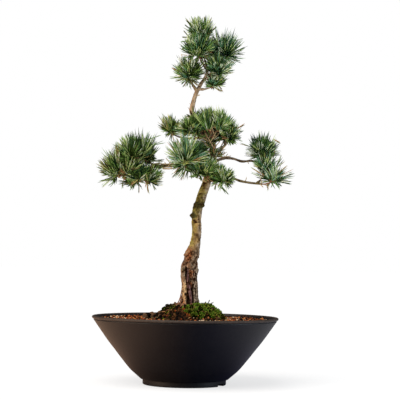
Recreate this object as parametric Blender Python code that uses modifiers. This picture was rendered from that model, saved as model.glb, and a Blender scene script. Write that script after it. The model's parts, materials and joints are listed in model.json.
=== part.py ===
"""Japanese white pine bonsai in a round black bowl: pot, soil, moss, trunk, boughs and masses of needles.

Lengths in the tables are millimetres. +Z is up, the front faces -Y, and the origin is the middle of the
pot's flat underside. Limbs and needles are worked out from the tables by the functions below them.
"""

import math
import random
from collections import namedtuple

import bmesh
import bpy
import numpy as np
from mathutils import Vector

MM = 0.001
UP = np.array([0.0, 0.0, 1.0])
GOLDEN_ANGLE = math.pi * (3 - math.sqrt(5))
GAP = 0.3

# Pot: a bowl with a nearly straight flared wall, a rounded rim and a solid foot
RIM_RADIUS = 150.0
RIM_HEIGHT = 108.5
RIM_ROUNDING = 1.8
WALL_THICKNESS = 4.9
FOOT_RADIUS = 67.0
FOOT_HEIGHT = 9.0
FOOT_BEVEL = 1.2
FLOOR_HEIGHT = 7.0
POT_WALL = ((70.5, 9.0), (77.5, 15.0), (88.0, 24.5), (101.3, 40.5), (113.8, 56.5), (126.3, 72.5), (148.0, 103.4))
TURN_STEPS = 40
GROOVE_ANGLES = (62, 242)
GROOVE_WIDTH = 20.0
GROOVE_HEIGHT = 4.0
DRAIN_DISTANCE = 42.0
DRAIN_RADIUS = 6.0

# Soil: level near the wall, heaped under the trunk, with a flat top that the trunk stands on
SOIL_HEIGHT = 103.0
GROUND_HEIGHT = 125.0
MOUND_CENTRE = (9.0, 1.0)
MOUND_TOP_RADIUS = 23.0
MOUND_RADIUS = 58.0

# Moss cushions on the mound: centre, half widths, thickness at the middle
MOSS = {
    "moss_right": ((35.0, -11.0), (32.0, 37.0), 5.5),
    "moss_left": ((-24.0, -6.0), (21.0, 27.0), 5.0),
}

# Trunk centre line from the ground to the tip: x, y, z, radius
TRUNK = (
    (12, 0, 118, 7.8), (12, 0, 138, 6.4), (12, 0, 154, 6.5), (11, 0, 170, 7.3), (10.5, 0, 183, 8.9),
    (8, 0, 196, 11.3), (8.2, 0, 206, 11.6), (11.4, 1, 215, 9.8), (14.6, 1, 227, 7.6), (16, 2, 246, 7.1),
    (15.5, 3, 264, 7.2), (16.5, 4, 280, 7.4), (21.3, 5, 295, 7.3), (26.3, 6, 311, 7.0), (32.2, 5, 329, 6.7),
    (38, 2, 350, 6.1), (41, -1, 373, 5.3), (36, -3, 395, 4.8), (25, -3, 411, 4.4), (12, 0, 427, 4.0),
    (5, 3, 441, 3.7), (7.5, 5, 456, 3.4), (11.5, 5, 470, 3.1), (19, 3, 485, 2.6), (27, 0, 498, 2.3),
    (29, -2, 510, 1.9), (25, -3, 524, 1.5),
)

# Raised roots that prop the trunk: x, y, z, radius along each
ROOTS = {
    "root_left": ((2, -2, 199, 5.5), (-3, -3, 189, 5.0), (-3.5, -4, 173, 4.9), (-2, -4, 157, 4.6),
                  (-2, -5, 141, 4.9), (-3.5, -7, 119, 6.2)),
    "root_back": ((4, 4, 196, 4.0), (6, 7, 167, 3.1), (6, 7, 143, 3.1), (4, 9, 119, 4.4)),
    "root_right": ((14, 3, 173, 4.2), (16, 8, 148, 4.1), (18, 14, 119, 5.0)),
    "root_thin": ((-2, -4, 148, 1.3), (-7, -6, 136, 1.1), (-12, -8, 122, 1.2)),
}

# Burrs where old branches were cut off: x, y, z, radius
BURRS = ((9, 0, 271, 5.0), (15, -1, 288, 5.2), (25, 0, 288, 4.5), (-1, -2, 207, 3.5), (9.5, 2, 451, 2.0))

# Boughs: what each grows from, its centre line, and its first and last radius
Limb = namedtuple("Limb", "parent route first last")
LIMBS = {
    "bough_left_low": Limb("trunk", ((36, 3, 344), (18, 12, 346), (-3, 14, 351), (-26, 8, 352),
                                     (-48, 2, 350), (-68, -1, 345), (-86, -3, 339)), 3.4, 1.6),
    "bough_left_upper": Limb("bough_left_low", ((-48, 2, 350), (-58, 4, 354), (-67, 4, 358)), 1.7, 1.3),
    "bough_left_under": Limb("bough_left_low", ((-44, 2, 350), (-53, -3, 343), (-60, -5, 336)), 1.6, 1.2),
    "bough_front_left": Limb("trunk", ((37, 2, 347), (25, -14, 347), (12, -26, 349)), 2.4, 1.6),
    "bough_front_middle": Limb("trunk", ((34, 4, 337), (31, -8, 335), (27, -18, 334)), 1.8, 1.3),
    "bough_front_right": Limb("trunk", ((32, 4, 329), (38, -10, 328), (45, -19, 327)), 2.3, 1.5),
    "bough_right_low": Limb("trunk", ((35, 4, 339), (51, 6, 339), (70, 2, 334), (85, -4, 328),
                                      (101, -8, 325), (120, -10, 323)), 2.2, 1.4),
    "bough_right_raised": Limb("bough_right_low", ((112, -9, 324), (117, -7, 329), (121, -6, 335)), 1.2, 0.9),
    "bough_right_mid": Limb("trunk", ((39, 2, 357), (51, 8, 363), (64, 12, 366), (75, 13, 365),
                                      (88, 12, 361), (103, 10, 362), (112, 9, 360), (119, 8, 364)), 2.0, 1.3),
    "bough_right_inner": Limb("trunk", ((41, 0, 368), (50, -2, 376), (58, -4, 384), (61, -5, 391)), 1.9, 1.4),
    "bough_mid_left": Limb("trunk", ((27, -3, 409), (21, -7, 402), (17, -10, 397)), 1.8, 1.3),
    "bough_far_left": Limb("trunk", ((33, -3, 400), (17, 6, 397), (0, 10, 397), (-14, 10, 399),
                                     (-22, 10, 402)), 1.6, 1.0),
    "bough_mid_right": Limb("trunk", ((34, -3, 398), (36, -8, 396), (38, -12, 397)), 2.1, 1.5),
    "bough_back_low": Limb("trunk", ((38, 2, 354), (31, 18, 356), (21, 32, 359)), 2.1, 1.5),
    "bough_back_mid": Limb("trunk", ((36, -3, 395), (39, 10, 400), (41, 24, 405)), 1.9, 1.5),
    "bough_top_left": Limb("trunk", ((13, 5, 474), (8, 1, 481), (4, -2, 487)), 1.6, 1.1),
    "bough_top_low_right": Limb("trunk", ((15, 4, 477), (25, 2, 477), (34, 0, 479)), 1.2, 0.8),
    "bough_top_mid_right": Limb("trunk", ((27, 0, 499), (34, -6, 499), (41, -10, 500)), 1.3, 0.9),
    "bough_top_right": Limb("trunk", ((29, -2, 508), (39, 4, 516), (51, 8, 524)), 1.5, 1.1),
    "bough_top_front": Limb("trunk", ((29, -2, 511), (24, -10, 515), (19, -15, 521)), 1.2, 0.9),
    "bough_top_back": Limb("trunk", ((29, -2, 508), (24, 8, 516), (19, 17, 524)), 1.3, 1.0),
}

# Masses of needles: the limb that each grows on from, its heart, the half widths of the shell that its
# tufts stand on, the way it leans, how far its tufts fan out in degrees, how much they turn upwards,
# where their spiral starts, how many there are, and the length of a needle
Mass = namedtuple("Mass", "limb heart shell lean fan lift phase tufts needle")
MASSES = {
    "needles_left_upper": Mass("bough_left_upper", (-84, 2, 359), (16, 24, 7), (-0.1, 0, 1), 85, 0.9, 0.6, 5, 28),
    "needles_left_lower": Mass("bough_left_low", (-105, -4, 334), (11, 20, 8), (-0.4, 0, 0.8), 95, 0.4, 2.0, 4, 26),
    "needles_left_under": Mass("bough_left_under", (-76, -6, 325), (12, 18, 4), (0.2, 0, 0.8), 95, 0.3, 0.9, 3, 26),
    "needles_front_left": Mass("bough_front_left", (-3, -34, 351), (6, 4, 3), (-0.3, -0.4, 1), 50, 0.3, 2.5, 2, 36),
    "needles_front_middle": Mass("bough_front_middle", (22, -26, 335), (7, 5, 3), (-0.1, -0.5, 1), 80, 0.2, 1.0, 2, 24),
    "needles_front_right": Mass("bough_front_right", (53, -24, 327), (9, 8, 2), (0.2, -0.3, 0.9), 85, 0.4, 0.0, 2, 24),
    "needles_right_low": Mass("bough_right_low", (136, -12, 327), (6, 5, 3), (0.3, 0, 1), 60, 0.1, 3.4, 2, 29),
    "needles_right_raised": Mass("bough_right_raised", (125, -5, 343), (3, 4, 3), (-0.1, 0, 1), 50, 0.6, 0.6, 1, 24),
    "needles_right_mid": Mass("bough_right_mid", (122, 8, 369), (4, 6, 3), (-0.1, 0, 1), 50, 0.9, 1.4, 2, 27),
    "needles_right_inner": Mass("bough_right_inner", (61, -6, 396), (7, 10, 4), (0.5, 0, 0.9), 80, 0.4, 0.3, 3, 21),
    "needles_mid_left": Mass("bough_mid_left", (7, -14, 402), (8, 7, 4), (-0.2, 0, 1), 80, 0.7, 1.4, 2, 27),
    "needles_far_left": Mass("bough_far_left", (-27, 10, 404), (3, 3, 3), (-0.2, 0, 1), 60, 0.3, 2.4, 1, 22),
    "needles_mid_right": Mass("bough_mid_right", (42, -12, 405), (13, 15, 6), (0, 0, 1), 85, 0.8, 0.4, 4, 26),
    "needles_back_low": Mass("bough_back_low", (8, 44, 362), (14, 10, 6), (-0.2, 0.5, 1), 85, 0.5, 0.2, 3, 29),
    "needles_back_mid": Mass("bough_back_mid", (42, 34, 408), (12, 10, 6), (0.1, 0.5, 1), 85, 0.6, 0.9, 3, 27),
    "needles_top_left": Mass("bough_top_left", (-1, -4, 493), (7, 8, 4), (-0.2, 0, 1), 80, 0.5, 2.6, 2, 28),
    "needles_crown": Mass("trunk", (17, -3, 558), (6, 6, 6), (0, 0, 1), 70, 0.8, 0.5, 3, 23),
    "needles_top_front": Mass("bough_top_front", (16, -18, 528), (7, 4, 7), (-0.1, -0.2, 1), 75, 0.7, 2.4, 3, 25),
    "needles_top_right": Mass("bough_top_right", (54, 8, 530), (7, 8, 3), (0.1, 0, 1), 60, 0.6, 0.4, 2, 29),
    "needles_top_low_right": Mass("bough_top_low_right", (38, 0, 481), (3, 3, 2), (0.4, 0, 1), 60, 0.3, 0.0, 1, 19),
    "needles_top_mid_right": Mass("bough_top_mid_right", (45, -12, 502), (5, 5, 3), (0.4, -0.2, 0.8), 70, 0.3, 0.3, 2, 22),
    "needles_top_back": Mass("bough_top_back", (19, 26, 533), (7, 7, 5), (0, 0.5, 1), 80, 0.7, 0.6, 2, 26),
}

# A tuft is a slim core on the end of a twig, with a needle standing out of each of its faces
CORE_RADIUS = 3.4
CORE_LENGTH = 15.0
TWIG_RADIUS = 1.1
SWEEP = 0.30
BARE_BELOW = -0.72
CLEARANCE = 0.6
TUFT_SHARE = 0.8


def unit(vector):
    vector = np.asarray(vector, float)
    return vector / np.linalg.norm(vector)


def smooth(stations, per_span):
    """Points of a Catmull-Rom curve through the stations, per_span to each span."""
    rows = np.asarray(stations, float)
    padded = np.vstack([2 * rows[0] - rows[1], rows, 2 * rows[-1] - rows[-2]])
    t = np.linspace(0, 1, per_span, endpoint=False)[:, None]
    spans = [
        0.5 * (2 * b + (c - a) * t + (2 * a - 5 * b + 4 * c - d) * t**2 + (3 * b - a - 3 * c + d) * t**3)
        for a, b, c, d in zip(padded, padded[1:], padded[2:], padded[3:])
    ]
    return np.vstack([*spans, rows[-1:]])


def sides_of(axis):
    """Two unit vectors square to the axis and to each other."""
    first = unit(np.cross(axis, (0.31, 0.89, 0.17)))
    return first, np.cross(axis, first)


def limb_line(name, per_span=2):
    """The centre line and radii of the trunk or a bough."""
    if name == "trunk":
        rows = smooth(TRUNK, per_span)
        return rows[:, :3], rows[:, 3]
    limb = LIMBS[name]
    line = smooth(limb.route, per_span)
    return line, np.linspace(limb.first, limb.last, len(line))


def mound_height(x, y):
    """Height of the soil: a heap with a flat top, falling as a parabola to the level."""
    away = math.hypot(x - MOUND_CENTRE[0], y - MOUND_CENTRE[1])
    share = min(max((away - MOUND_TOP_RADIUS) / (MOUND_RADIUS - MOUND_TOP_RADIUS), 0.0), 1.0)
    return SOIL_HEIGHT + (GROUND_HEIGHT - GAP - SOIL_HEIGHT) * (1 - share**2)


def clear_scene():
    for obj in list(bpy.data.objects):
        bpy.data.objects.remove(obj)


def new_collection(name):
    collection = bpy.data.collections.new(name)
    bpy.context.scene.collection.children.link(collection)
    return collection


def finish(name, colour, roughness):
    """A material with one Principled BSDF."""
    material = bpy.data.materials.new(name)
    material.use_nodes = True
    shader = material.node_tree.nodes["Principled BSDF"]
    shader.inputs["Base Color"].default_value = (*colour, 1.0)
    shader.inputs["Roughness"].default_value = roughness
    shader.inputs["Metallic"].default_value = 0.0
    return material


def evaluated_mesh(obj):
    graph = bpy.context.evaluated_depsgraph_get()
    return bpy.data.meshes.new_from_object(obj.evaluated_get(graph))


def move_to(obj, collection):
    for owner in list(obj.users_collection):
        owner.objects.unlink(obj)
    collection.objects.link(obj)


def apply_modifiers(obj):
    mesh = evaluated_mesh(obj)
    obj.modifiers.clear()
    obj.data = mesh


def new_object(name, mesh, collection):
    obj = bpy.data.objects.new(name, mesh)
    collection.objects.link(obj)
    return obj


def weld(mesh):
    """Welds the loose caps of a mesh made from a curve and turns its faces outwards."""
    shell = bmesh.new()
    shell.from_mesh(mesh)
    bmesh.ops.remove_doubles(shell, verts=shell.verts, dist=1e-6)
    bmesh.ops.recalc_face_normals(shell, faces=shell.faces)
    shell.to_mesh(mesh)
    shell.free()


def tube(name, line, radii, resolution, collection):
    """A round tapering tube along a line, as a mesh with its end caps welded on."""
    curve = bpy.data.curves.new(name, "CURVE")
    curve.dimensions = "3D"
    curve.bevel_depth = MM
    curve.bevel_resolution = resolution
    curve.use_fill_caps = True
    spline = curve.splines.new("POLY")
    spline.points.add(len(line) - 1)
    for point, place, radius in zip(spline.points, line, radii):
        point.co = (*(np.asarray(place) * MM), 1.0)
        point.radius = radius
    guide = new_object(name + "_line", curve, collection)
    mesh = evaluated_mesh(guide)
    weld(mesh)
    obj = new_object(name, mesh, collection)
    obj.matrix_world = guide.matrix_world
    bpy.data.objects.remove(guide)
    return obj


def boolean(obj, operation, solver="EXACT", cutter=None, collection=None):
    """Joins or cuts obj by one object or by a whole collection, and applies the result."""
    modifier = obj.modifiers.new(operation.lower(), "BOOLEAN")
    modifier.operation = operation
    modifier.solver = solver
    if collection is None:
        modifier.object = cutter
    else:
        modifier.operand_type = "COLLECTION"
        modifier.collection = collection
    apply_modifiers(obj)


def empty_collection(collection):
    for obj in list(collection.objects):
        bpy.data.objects.remove(obj)


def keep_largest_body(obj):
    """Drops the loose scraps that a cut leaves beside the main body."""
    shape = bmesh.new()
    shape.from_mesh(obj.data)
    left = set(shape.faces)
    bodies = []
    while left:
        body = [left.pop()]
        for face in body:
            pairs = [edge.link_faces for edge in face.edges if len(edge.link_faces) == 2]
            near = {other for pair in pairs for other in pair} & left
            left -= near
            body.extend(near)
        bodies.append(body)
    bodies.sort(key=len)
    scraps = [face for body in bodies[:-1] for face in body]
    bmesh.ops.delete(shape, geom=scraps, context="FACES")
    shape.to_mesh(obj.data)
    shape.free()


def turned(name, profile, collection):
    """A closed body turned about Z from (radius, height) points that run down its outer side."""
    shape = bmesh.new()
    points = [shape.verts.new((radius * MM, 0.0, height * MM)) for radius, height in profile]
    for first, second in zip(points, points[1:]):
        shape.edges.new((first, second))
    mesh = bpy.data.meshes.new(name)
    shape.to_mesh(mesh)
    shape.free()
    obj = new_object(name, mesh, collection)
    screw = obj.modifiers.new("turn", "SCREW")
    screw.axis = "Z"
    screw.steps = TURN_STEPS
    screw.render_steps = TURN_STEPS
    screw.use_merge_vertices = True
    screw.merge_threshold = 1e-5
    apply_modifiers(obj)
    return obj


def pot_outline():
    """Outer and inner outline of the pot's wall, each from the foot up; the inner one has fewer points."""
    outer = np.array(POT_WALL)
    return outer, outer[::2] - (WALL_THICKNESS, 0)


def make_pot(parts, cutters, black):
    outer, inner = pot_outline()
    crest = RIM_HEIGHT - RIM_ROUNDING
    middle = RIM_RADIUS - WALL_THICKNESS / 2
    half = WALL_THICKNESS / 2
    rim = [
        (middle - half * math.cos(turn), crest + RIM_ROUNDING * math.sin(turn))
        for turn in np.linspace(0, math.pi, 6)
    ]
    profile = [(0, FLOOR_HEIGHT), (inner[0][0] - 4, FLOOR_HEIGHT), *inner, *rim, *outer[::-1]]
    profile += [(FOOT_RADIUS, FOOT_HEIGHT), (FOOT_RADIUS, FOOT_BEVEL), (FOOT_RADIUS - FOOT_BEVEL, 0), (0, 0)]
    pot = turned("pot", profile, parts)
    for angle in GROOVE_ANGLES:
        way = Vector((math.sin(math.radians(angle)), -math.cos(math.radians(angle)), 0))
        bpy.ops.mesh.primitive_cube_add(size=1)
        groove = bpy.context.object
        groove.scale = (GROOVE_WIDTH * MM, (FOOT_RADIUS + 10 - DRAIN_DISTANCE) * MM, 2 * GROOVE_HEIGHT * MM)
        groove.rotation_euler.z = math.atan2(way.y, way.x) + math.pi / 2
        groove.location = way * ((DRAIN_DISTANCE + FOOT_RADIUS + 10) / 2 * MM)
        bpy.ops.mesh.primitive_cylinder_add(vertices=16, radius=DRAIN_RADIUS * MM, depth=4 * FLOOR_HEIGHT * MM)
        drain = bpy.context.object
        drain.location = way * (DRAIN_DISTANCE * MM)
        for cutter in (groove, drain):
            move_to(cutter, cutters)
            bpy.context.view_layer.update()
            boolean(pot, "DIFFERENCE", cutter=cutter)
            bpy.data.objects.remove(cutter)
    pot.data.materials.append(black)
    pot.data.shade_smooth()
    pot.data.set_sharp_from_angle(angle=math.radians(30))
    return pot


def make_soil(parts, grit):
    """Fills the pot, with its outer side a gap inside the wall and its top heaped under the trunk."""
    _, inner = pot_outline()
    side = [(radius - GAP * 1.3, height) for radius, height in inner if height < SOIL_HEIGHT - 6]
    last, before = np.array(inner[-1]), np.array(inner[-2])
    slope = (last[0] - before[0]) / (last[1] - before[1])
    edge = side[-1][0] + slope * (SOIL_HEIGHT - side[-1][1])
    rings = [0, *np.linspace(MOUND_TOP_RADIUS - 4, MOUND_RADIUS + 12, 6)]
    profile = [(radius, SOIL_HEIGHT) for radius in rings]
    profile += [(edge, SOIL_HEIGHT), *side[::-1], (side[0][0] - 4, FLOOR_HEIGHT + GAP), (0, FLOOR_HEIGHT + GAP)]
    soil = turned("soil", profile, parts)
    for vertex in soil.data.vertices:
        if vertex.co.z > (SOIL_HEIGHT - 0.1) * MM:
            vertex.co.z = mound_height(vertex.co.x / MM, vertex.co.y / MM) * MM
    soil.data.materials.append(grit)
    return soil


def make_moss(parts, cutters, soil, foot, green):
    """Cushions of moss that lie on the mound and stop short of the trunk's foot."""
    bed = new_object("bed", soil.data.copy(), cutters)
    bed.location.z = GAP * MM
    for name, (centre, half, thickness) in MOSS.items():
        shape = bmesh.new()
        bmesh.ops.create_uvsphere(shape, u_segments=14, v_segments=6, radius=1.0)
        for vertex in shape.verts:
            x = centre[0] + half[0] * vertex.co.x
            y = centre[1] + half[1] * vertex.co.y
            rise = thickness * (vertex.co.z if vertex.co.z > 0 else 0.8 * vertex.co.z)
            vertex.co = (x * MM, y * MM, (mound_height(x, y) + rise) * MM)
        mesh = bpy.data.meshes.new(name)
        shape.to_mesh(mesh)
        shape.free()
        moss = new_object(name, mesh, parts)
        bpy.context.view_layer.update()
        boolean(moss, "DIFFERENCE", cutter=bed)
        boolean(moss, "DIFFERENCE", collection=foot)
        keep_largest_body(moss)
        moss.data.materials.append(green)
    bpy.data.objects.remove(bed)


def foot_tubes(collection, extra, resolution):
    """The trunk's raised roots, each thicker by extra."""
    for name, stations in ROOTS.items():
        rows = smooth(stations, 2)
        tube(name, rows[:, :3], rows[:, 3] + extra, resolution, collection)


def make_trunk(parts, joined, cutters, bark):
    """The trunk, its raised roots and its burrs as one body, cut flat at the ground."""
    line, radii = limb_line("trunk")
    trunk = tube("trunk", line, radii, 2, parts)
    foot_tubes(joined, 0.0, 1)
    for x, y, z, radius in BURRS:
        bpy.ops.mesh.primitive_ico_sphere_add(subdivisions=1, radius=radius * MM, location=(x * MM, y * MM, z * MM))
        move_to(bpy.context.object, joined)
    bpy.context.view_layer.update()
    boolean(trunk, "UNION", collection=joined)
    empty_collection(joined)
    bpy.ops.mesh.primitive_cube_add(size=0.2, location=(0, 0, GROUND_HEIGHT * MM - 0.1))
    ground = bpy.context.object
    move_to(ground, cutters)
    bpy.context.view_layer.update()
    boolean(trunk, "DIFFERENCE", cutter=ground)
    bpy.data.objects.remove(ground)
    trunk.data.materials.append(bark)
    return trunk


def make_boughs(parts, cutters, bark):
    """Each bough as one tapering limb, cut to fit the limb it grows from."""
    for name, limb in LIMBS.items():
        line, radii = limb_line(name)
        bough = tube(name, line, radii, 1, parts)
        parent_line, parent_radii = limb_line(limb.parent)
        resolution = 2 if limb.parent == "trunk" else 1
        saddle = tube("saddle", parent_line, parent_radii + GAP * 1.2, resolution, cutters)
        bpy.context.view_layer.update()
        boolean(bough, "DIFFERENCE", cutter=saddle)
        bpy.data.objects.remove(saddle)
        bough.data.materials.append(bark)
        bough.data.shade_smooth()


def stem_of(name):
    """The line of a mass's stem, from a gap past its limb's tip to its heart."""
    mass = MASSES[name]
    line, radii = limb_line(mass.limb)
    way = unit(line[-1] - line[-2])
    start = line[-1] + way * GAP
    heart = np.array(mass.heart, float)
    bend = start + way * 0.45 * np.linalg.norm(heart - start)
    t = np.linspace(0, 1, 5)[:, None]
    return (1 - t) ** 2 * start + 2 * (1 - t) * t * bend + t**2 * heart, radii[-1]


def tufts_of(name):
    """(base, axis) of each tuft, on a spiral over the mass's shell about the way it leans."""
    mass = MASSES[name]
    lean = unit(mass.lean)
    first, second = sides_of(lean)
    tufts = []
    for index in range(mass.tufts):
        share = (index + 0.5) / mass.tufts if mass.tufts > 1 else 0.0
        along = 1 - share * (1 - math.cos(math.radians(mass.fan)))
        across = math.sqrt(1 - along**2)
        turn = mass.phase + index * GOLDEN_ANGLE
        out = lean * along + (first * math.cos(turn) + second * math.sin(turn)) * across
        tufts.append((np.array(mass.heart) + np.array(mass.shell) * out, unit(out + mass.lift * UP)))
    return tufts


def mass_reach(name):
    """The middle of a mass's tufts and how far its needles reach from there."""
    tufts = tufts_of(name)
    middle = np.mean([base + axis * CORE_LENGTH * 0.4 for base, axis in tufts], axis=0)
    spread = max(np.linalg.norm(base - middle) for base, _ in tufts)
    return middle, spread + MASSES[name].needle


def parting_plane(near, far, share):
    """The plane square to the line from near to far, at a share of its length, as (unit normal, distance)."""
    normal = unit(far - near)
    return normal, normal @ (near + share * (far - near))


def planes_round(name):
    """The planes that part a mass from its neighbours."""
    middle, reach = mass_reach(name)
    planes = []
    for other in MASSES:
        far, far_reach = mass_reach(other)
        if other != name and np.linalg.norm(far - middle) < reach + far_reach + CORE_LENGTH:
            planes.append(parting_plane(middle, far, reach / (reach + far_reach)))
    return planes


def keeps_clear(places, half_widths, planes, limbs):
    """True if a tooth stays on its side of each plane and off every limb."""
    for normal, distance in planes:
        if (places @ normal + half_widths).max() > distance - CLEARANCE:
            return False
    for line, radii in limbs:
        apart = np.linalg.norm(places[:, None] - line[None], axis=2) - radii[None] - half_widths[:, None]
        if apart.min() < CLEARANCE:
            return False
    return True


def place_tuft(base, axis, needle, dice, planes, limbs, collection):
    """A core stretched along the axis, whose faces are poked out into needles that sweep forwards.

    A needle that would leave the mass's space or touch a limb is left out. Returns how many stay."""
    centre = base + axis * CORE_LENGTH * 0.4
    first, second = sides_of(axis)
    shape = bmesh.new()
    bmesh.ops.create_icosphere(shape, subdivisions=2, radius=1.0)
    outward = {face: np.array(face.calc_center_median()) for face in shape.faces}
    for vertex in shape.verts:
        across, over, along = vertex.co
        place = centre + CORE_RADIUS * (first * across + second * over) + CORE_LENGTH / 2 * axis * along
        vertex.co = place * MM
    share = np.linspace(0.15, 1.0, 6)
    kept = 0
    for face, (across, over, along) in outward.items():
        length = needle * dice.uniform(0.86, 1.08)
        stray = np.array([dice.uniform(-0.12, 0.12) for _ in range(3)])
        if along < BARE_BELOW:
            continue
        way = unit(first * across + second * over + axis * (along + SWEEP) + 0.1 * UP + stray)
        root = np.array(face.calc_center_median()) / MM
        if keeps_clear(root + way * length * share[:, None], 1.3 * (1 - share), planes, limbs):
            poked = bmesh.ops.poke(shape, faces=[face])
            poked["verts"][0].co = (root + way * length) * MM
            kept += 1
    mesh = bpy.data.meshes.new("tuft")
    bmesh.ops.recalc_face_normals(shape, faces=shape.faces)
    shape.to_mesh(mesh)
    shape.free()
    new_object("tuft", mesh, collection)
    return kept


def cone_mesh(name, sides, tip):
    """A cone of unit length and radius along Z, with its foot at the origin."""
    shape = bmesh.new()
    bmesh.ops.create_cone(shape, cap_ends=True, segments=sides, radius1=1.0, radius2=tip, depth=1.0)
    bmesh.ops.translate(shape, verts=shape.verts, vec=(0, 0, 0.5))
    mesh = bpy.data.meshes.new(name)
    shape.to_mesh(mesh)
    shape.free()
    return mesh


def place_cone(mesh, root, tip, radius, collection):
    way = Vector(tip - root)
    cone = new_object(mesh.name, mesh, collection)
    cone.location = Vector(root) * MM
    cone.rotation_mode = "QUATERNION"
    cone.rotation_quaternion = way.to_track_quat("Z", "Y")
    cone.scale = (radius * MM, radius * MM, way.length * MM)
    return cone


def make_mass(name, parts, joined, shapes, limbs, green):
    """One mass of needles: a stem, with twigs that carry its tufts, fused together."""
    mass = MASSES[name]
    dice = random.Random(name)
    stem_line, stem_radius = stem_of(name)
    stem = tube(name, stem_line, np.linspace(stem_radius, TWIG_RADIUS, len(stem_line)), 0, parts)
    mass_planes = planes_round(name)
    tufts = tufts_of(name)
    kept = 0
    for base, axis in tufts:
        planes = mass_planes + [parting_plane(base, far, TUFT_SHARE) for far, _ in tufts if far is not base]
        place_cone(shapes["twig"], stem_line[-2], base + axis * 2, TWIG_RADIUS, joined)
        kept += place_tuft(base, axis, mass.needle, dice, planes, limbs, joined)
    bpy.context.view_layer.update()
    boolean(stem, "UNION", solver="MANIFOLD", collection=joined)
    empty_collection(joined)
    stem.data.materials.clear()
    stem.data.materials.append(green)
    print(name, "needles", kept, "triangles", sum(len(face.vertices) - 2 for face in stem.data.polygons))


def build():
    clear_scene()
    parts = new_collection("japanese_white_pine_bonsai")
    cutters = new_collection("cutters")
    joined = new_collection("joined")
    foot = new_collection("foot")
    for helper in (cutters, joined, foot):
        helper.hide_render = True
    black = finish("pot_black", (0.022, 0.021, 0.022), 0.5)
    grit = finish("grit_soil", (0.24, 0.11, 0.05), 0.95)
    green_moss = finish("moss_green", (0.09, 0.15, 0.03), 0.95)
    bark = finish("bark", (0.30, 0.20, 0.12), 0.85)
    needle_green = finish("needle_green", (0.07, 0.15, 0.06), 0.5)

    make_pot(parts, cutters, black)
    soil = make_soil(parts, grit)
    trunk_line, trunk_radii = limb_line("trunk")
    foot_tubes(foot, 0.5, 1)
    tube("foot_trunk", trunk_line[:8], trunk_radii[:8] + 0.5, 2, foot)
    make_moss(parts, cutters, soil, foot, green_moss)
    empty_collection(foot)
    make_trunk(parts, joined, cutters, bark)
    make_boughs(parts, cutters, bark)
    shapes = {
        "twig": cone_mesh("twig", 3, 0.9),
    }
    limbs = [limb_line(name, 8) for name in ("trunk", *LIMBS)]
    for name in MASSES:
        make_mass(name, parts, joined, shapes, limbs, needle_green)


build()
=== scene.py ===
# %% [markdown]
# # A japanese white pine bonsai in a black bowl
#
# The plant is about 60 cm tall: a bare, leaning trunk that stands on raised roots, a few thin boughs,
# and tufts of short needles that grow in fives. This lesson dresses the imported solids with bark, moss,
# grit, twigs and needles. Each surface is worked out with numpy as an array of points, and only then
# handed to Blender as a mesh. Lengths in the tables are millimetres.

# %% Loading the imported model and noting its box
import json
import math
from collections import namedtuple

import bpy
import numpy as np
from mathutils import Matrix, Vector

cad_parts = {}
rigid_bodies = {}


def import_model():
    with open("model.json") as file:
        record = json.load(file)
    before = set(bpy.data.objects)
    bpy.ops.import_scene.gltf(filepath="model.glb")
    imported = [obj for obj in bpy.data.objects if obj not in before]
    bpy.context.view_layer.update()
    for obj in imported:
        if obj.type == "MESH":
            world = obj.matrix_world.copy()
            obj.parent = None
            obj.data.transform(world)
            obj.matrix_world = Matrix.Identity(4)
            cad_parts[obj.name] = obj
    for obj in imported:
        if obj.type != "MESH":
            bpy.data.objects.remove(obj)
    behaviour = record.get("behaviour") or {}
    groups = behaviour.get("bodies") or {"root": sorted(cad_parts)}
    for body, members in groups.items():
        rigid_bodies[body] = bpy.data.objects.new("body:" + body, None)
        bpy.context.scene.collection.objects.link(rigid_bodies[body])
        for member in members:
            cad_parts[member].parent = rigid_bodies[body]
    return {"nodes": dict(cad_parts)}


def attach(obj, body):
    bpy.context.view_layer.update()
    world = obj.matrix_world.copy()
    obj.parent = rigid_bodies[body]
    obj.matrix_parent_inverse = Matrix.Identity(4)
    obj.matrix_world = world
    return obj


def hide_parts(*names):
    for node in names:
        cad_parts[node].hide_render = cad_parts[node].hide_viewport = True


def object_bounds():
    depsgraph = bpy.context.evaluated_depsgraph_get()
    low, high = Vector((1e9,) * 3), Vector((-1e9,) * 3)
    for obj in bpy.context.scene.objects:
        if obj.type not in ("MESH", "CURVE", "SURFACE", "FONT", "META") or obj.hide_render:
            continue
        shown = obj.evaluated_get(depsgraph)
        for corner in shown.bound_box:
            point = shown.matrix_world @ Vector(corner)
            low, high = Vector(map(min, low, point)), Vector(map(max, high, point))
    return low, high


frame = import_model()
cad_box = [list(corner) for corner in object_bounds()]
MM = 0.001
UP = np.array([0.0, 0.0, 1.0])
GOLDEN_ANGLE = math.pi * (3 - math.sqrt(5))
print("nodes", len(frame["nodes"]), "box", np.round(cad_box, 4).tolist())

# %% [markdown]
# ## Camera and studio
#
# The photograph was taken with a long lens from about two metres, a little above the rim of the pot and
# tilted up by three degrees, so the soil shows only as a thin band. The background is plain white. A sun
# lamp with a wide disc gives soft shadows that are the same all over the floor. A warm lamp at the left
# and a cool one at the right shine on the pot's dark wall too, but its two faint sheens are mostly a
# painted reflection, which the floor glows with to glossy rays only. The surround is white to the camera,
# dimmer as light, and darker still in the glaze, which hardly mirrors it in the photograph.

# %% The camera at the photograph's place
CAMERA_PLACE = (0.0207, -2.0, 0.195)
CAMERA_PITCH = math.radians(2.9)
CAMERA_ROLL = math.radians(0.9)
CAMERA_LENS = 111.4

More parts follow.
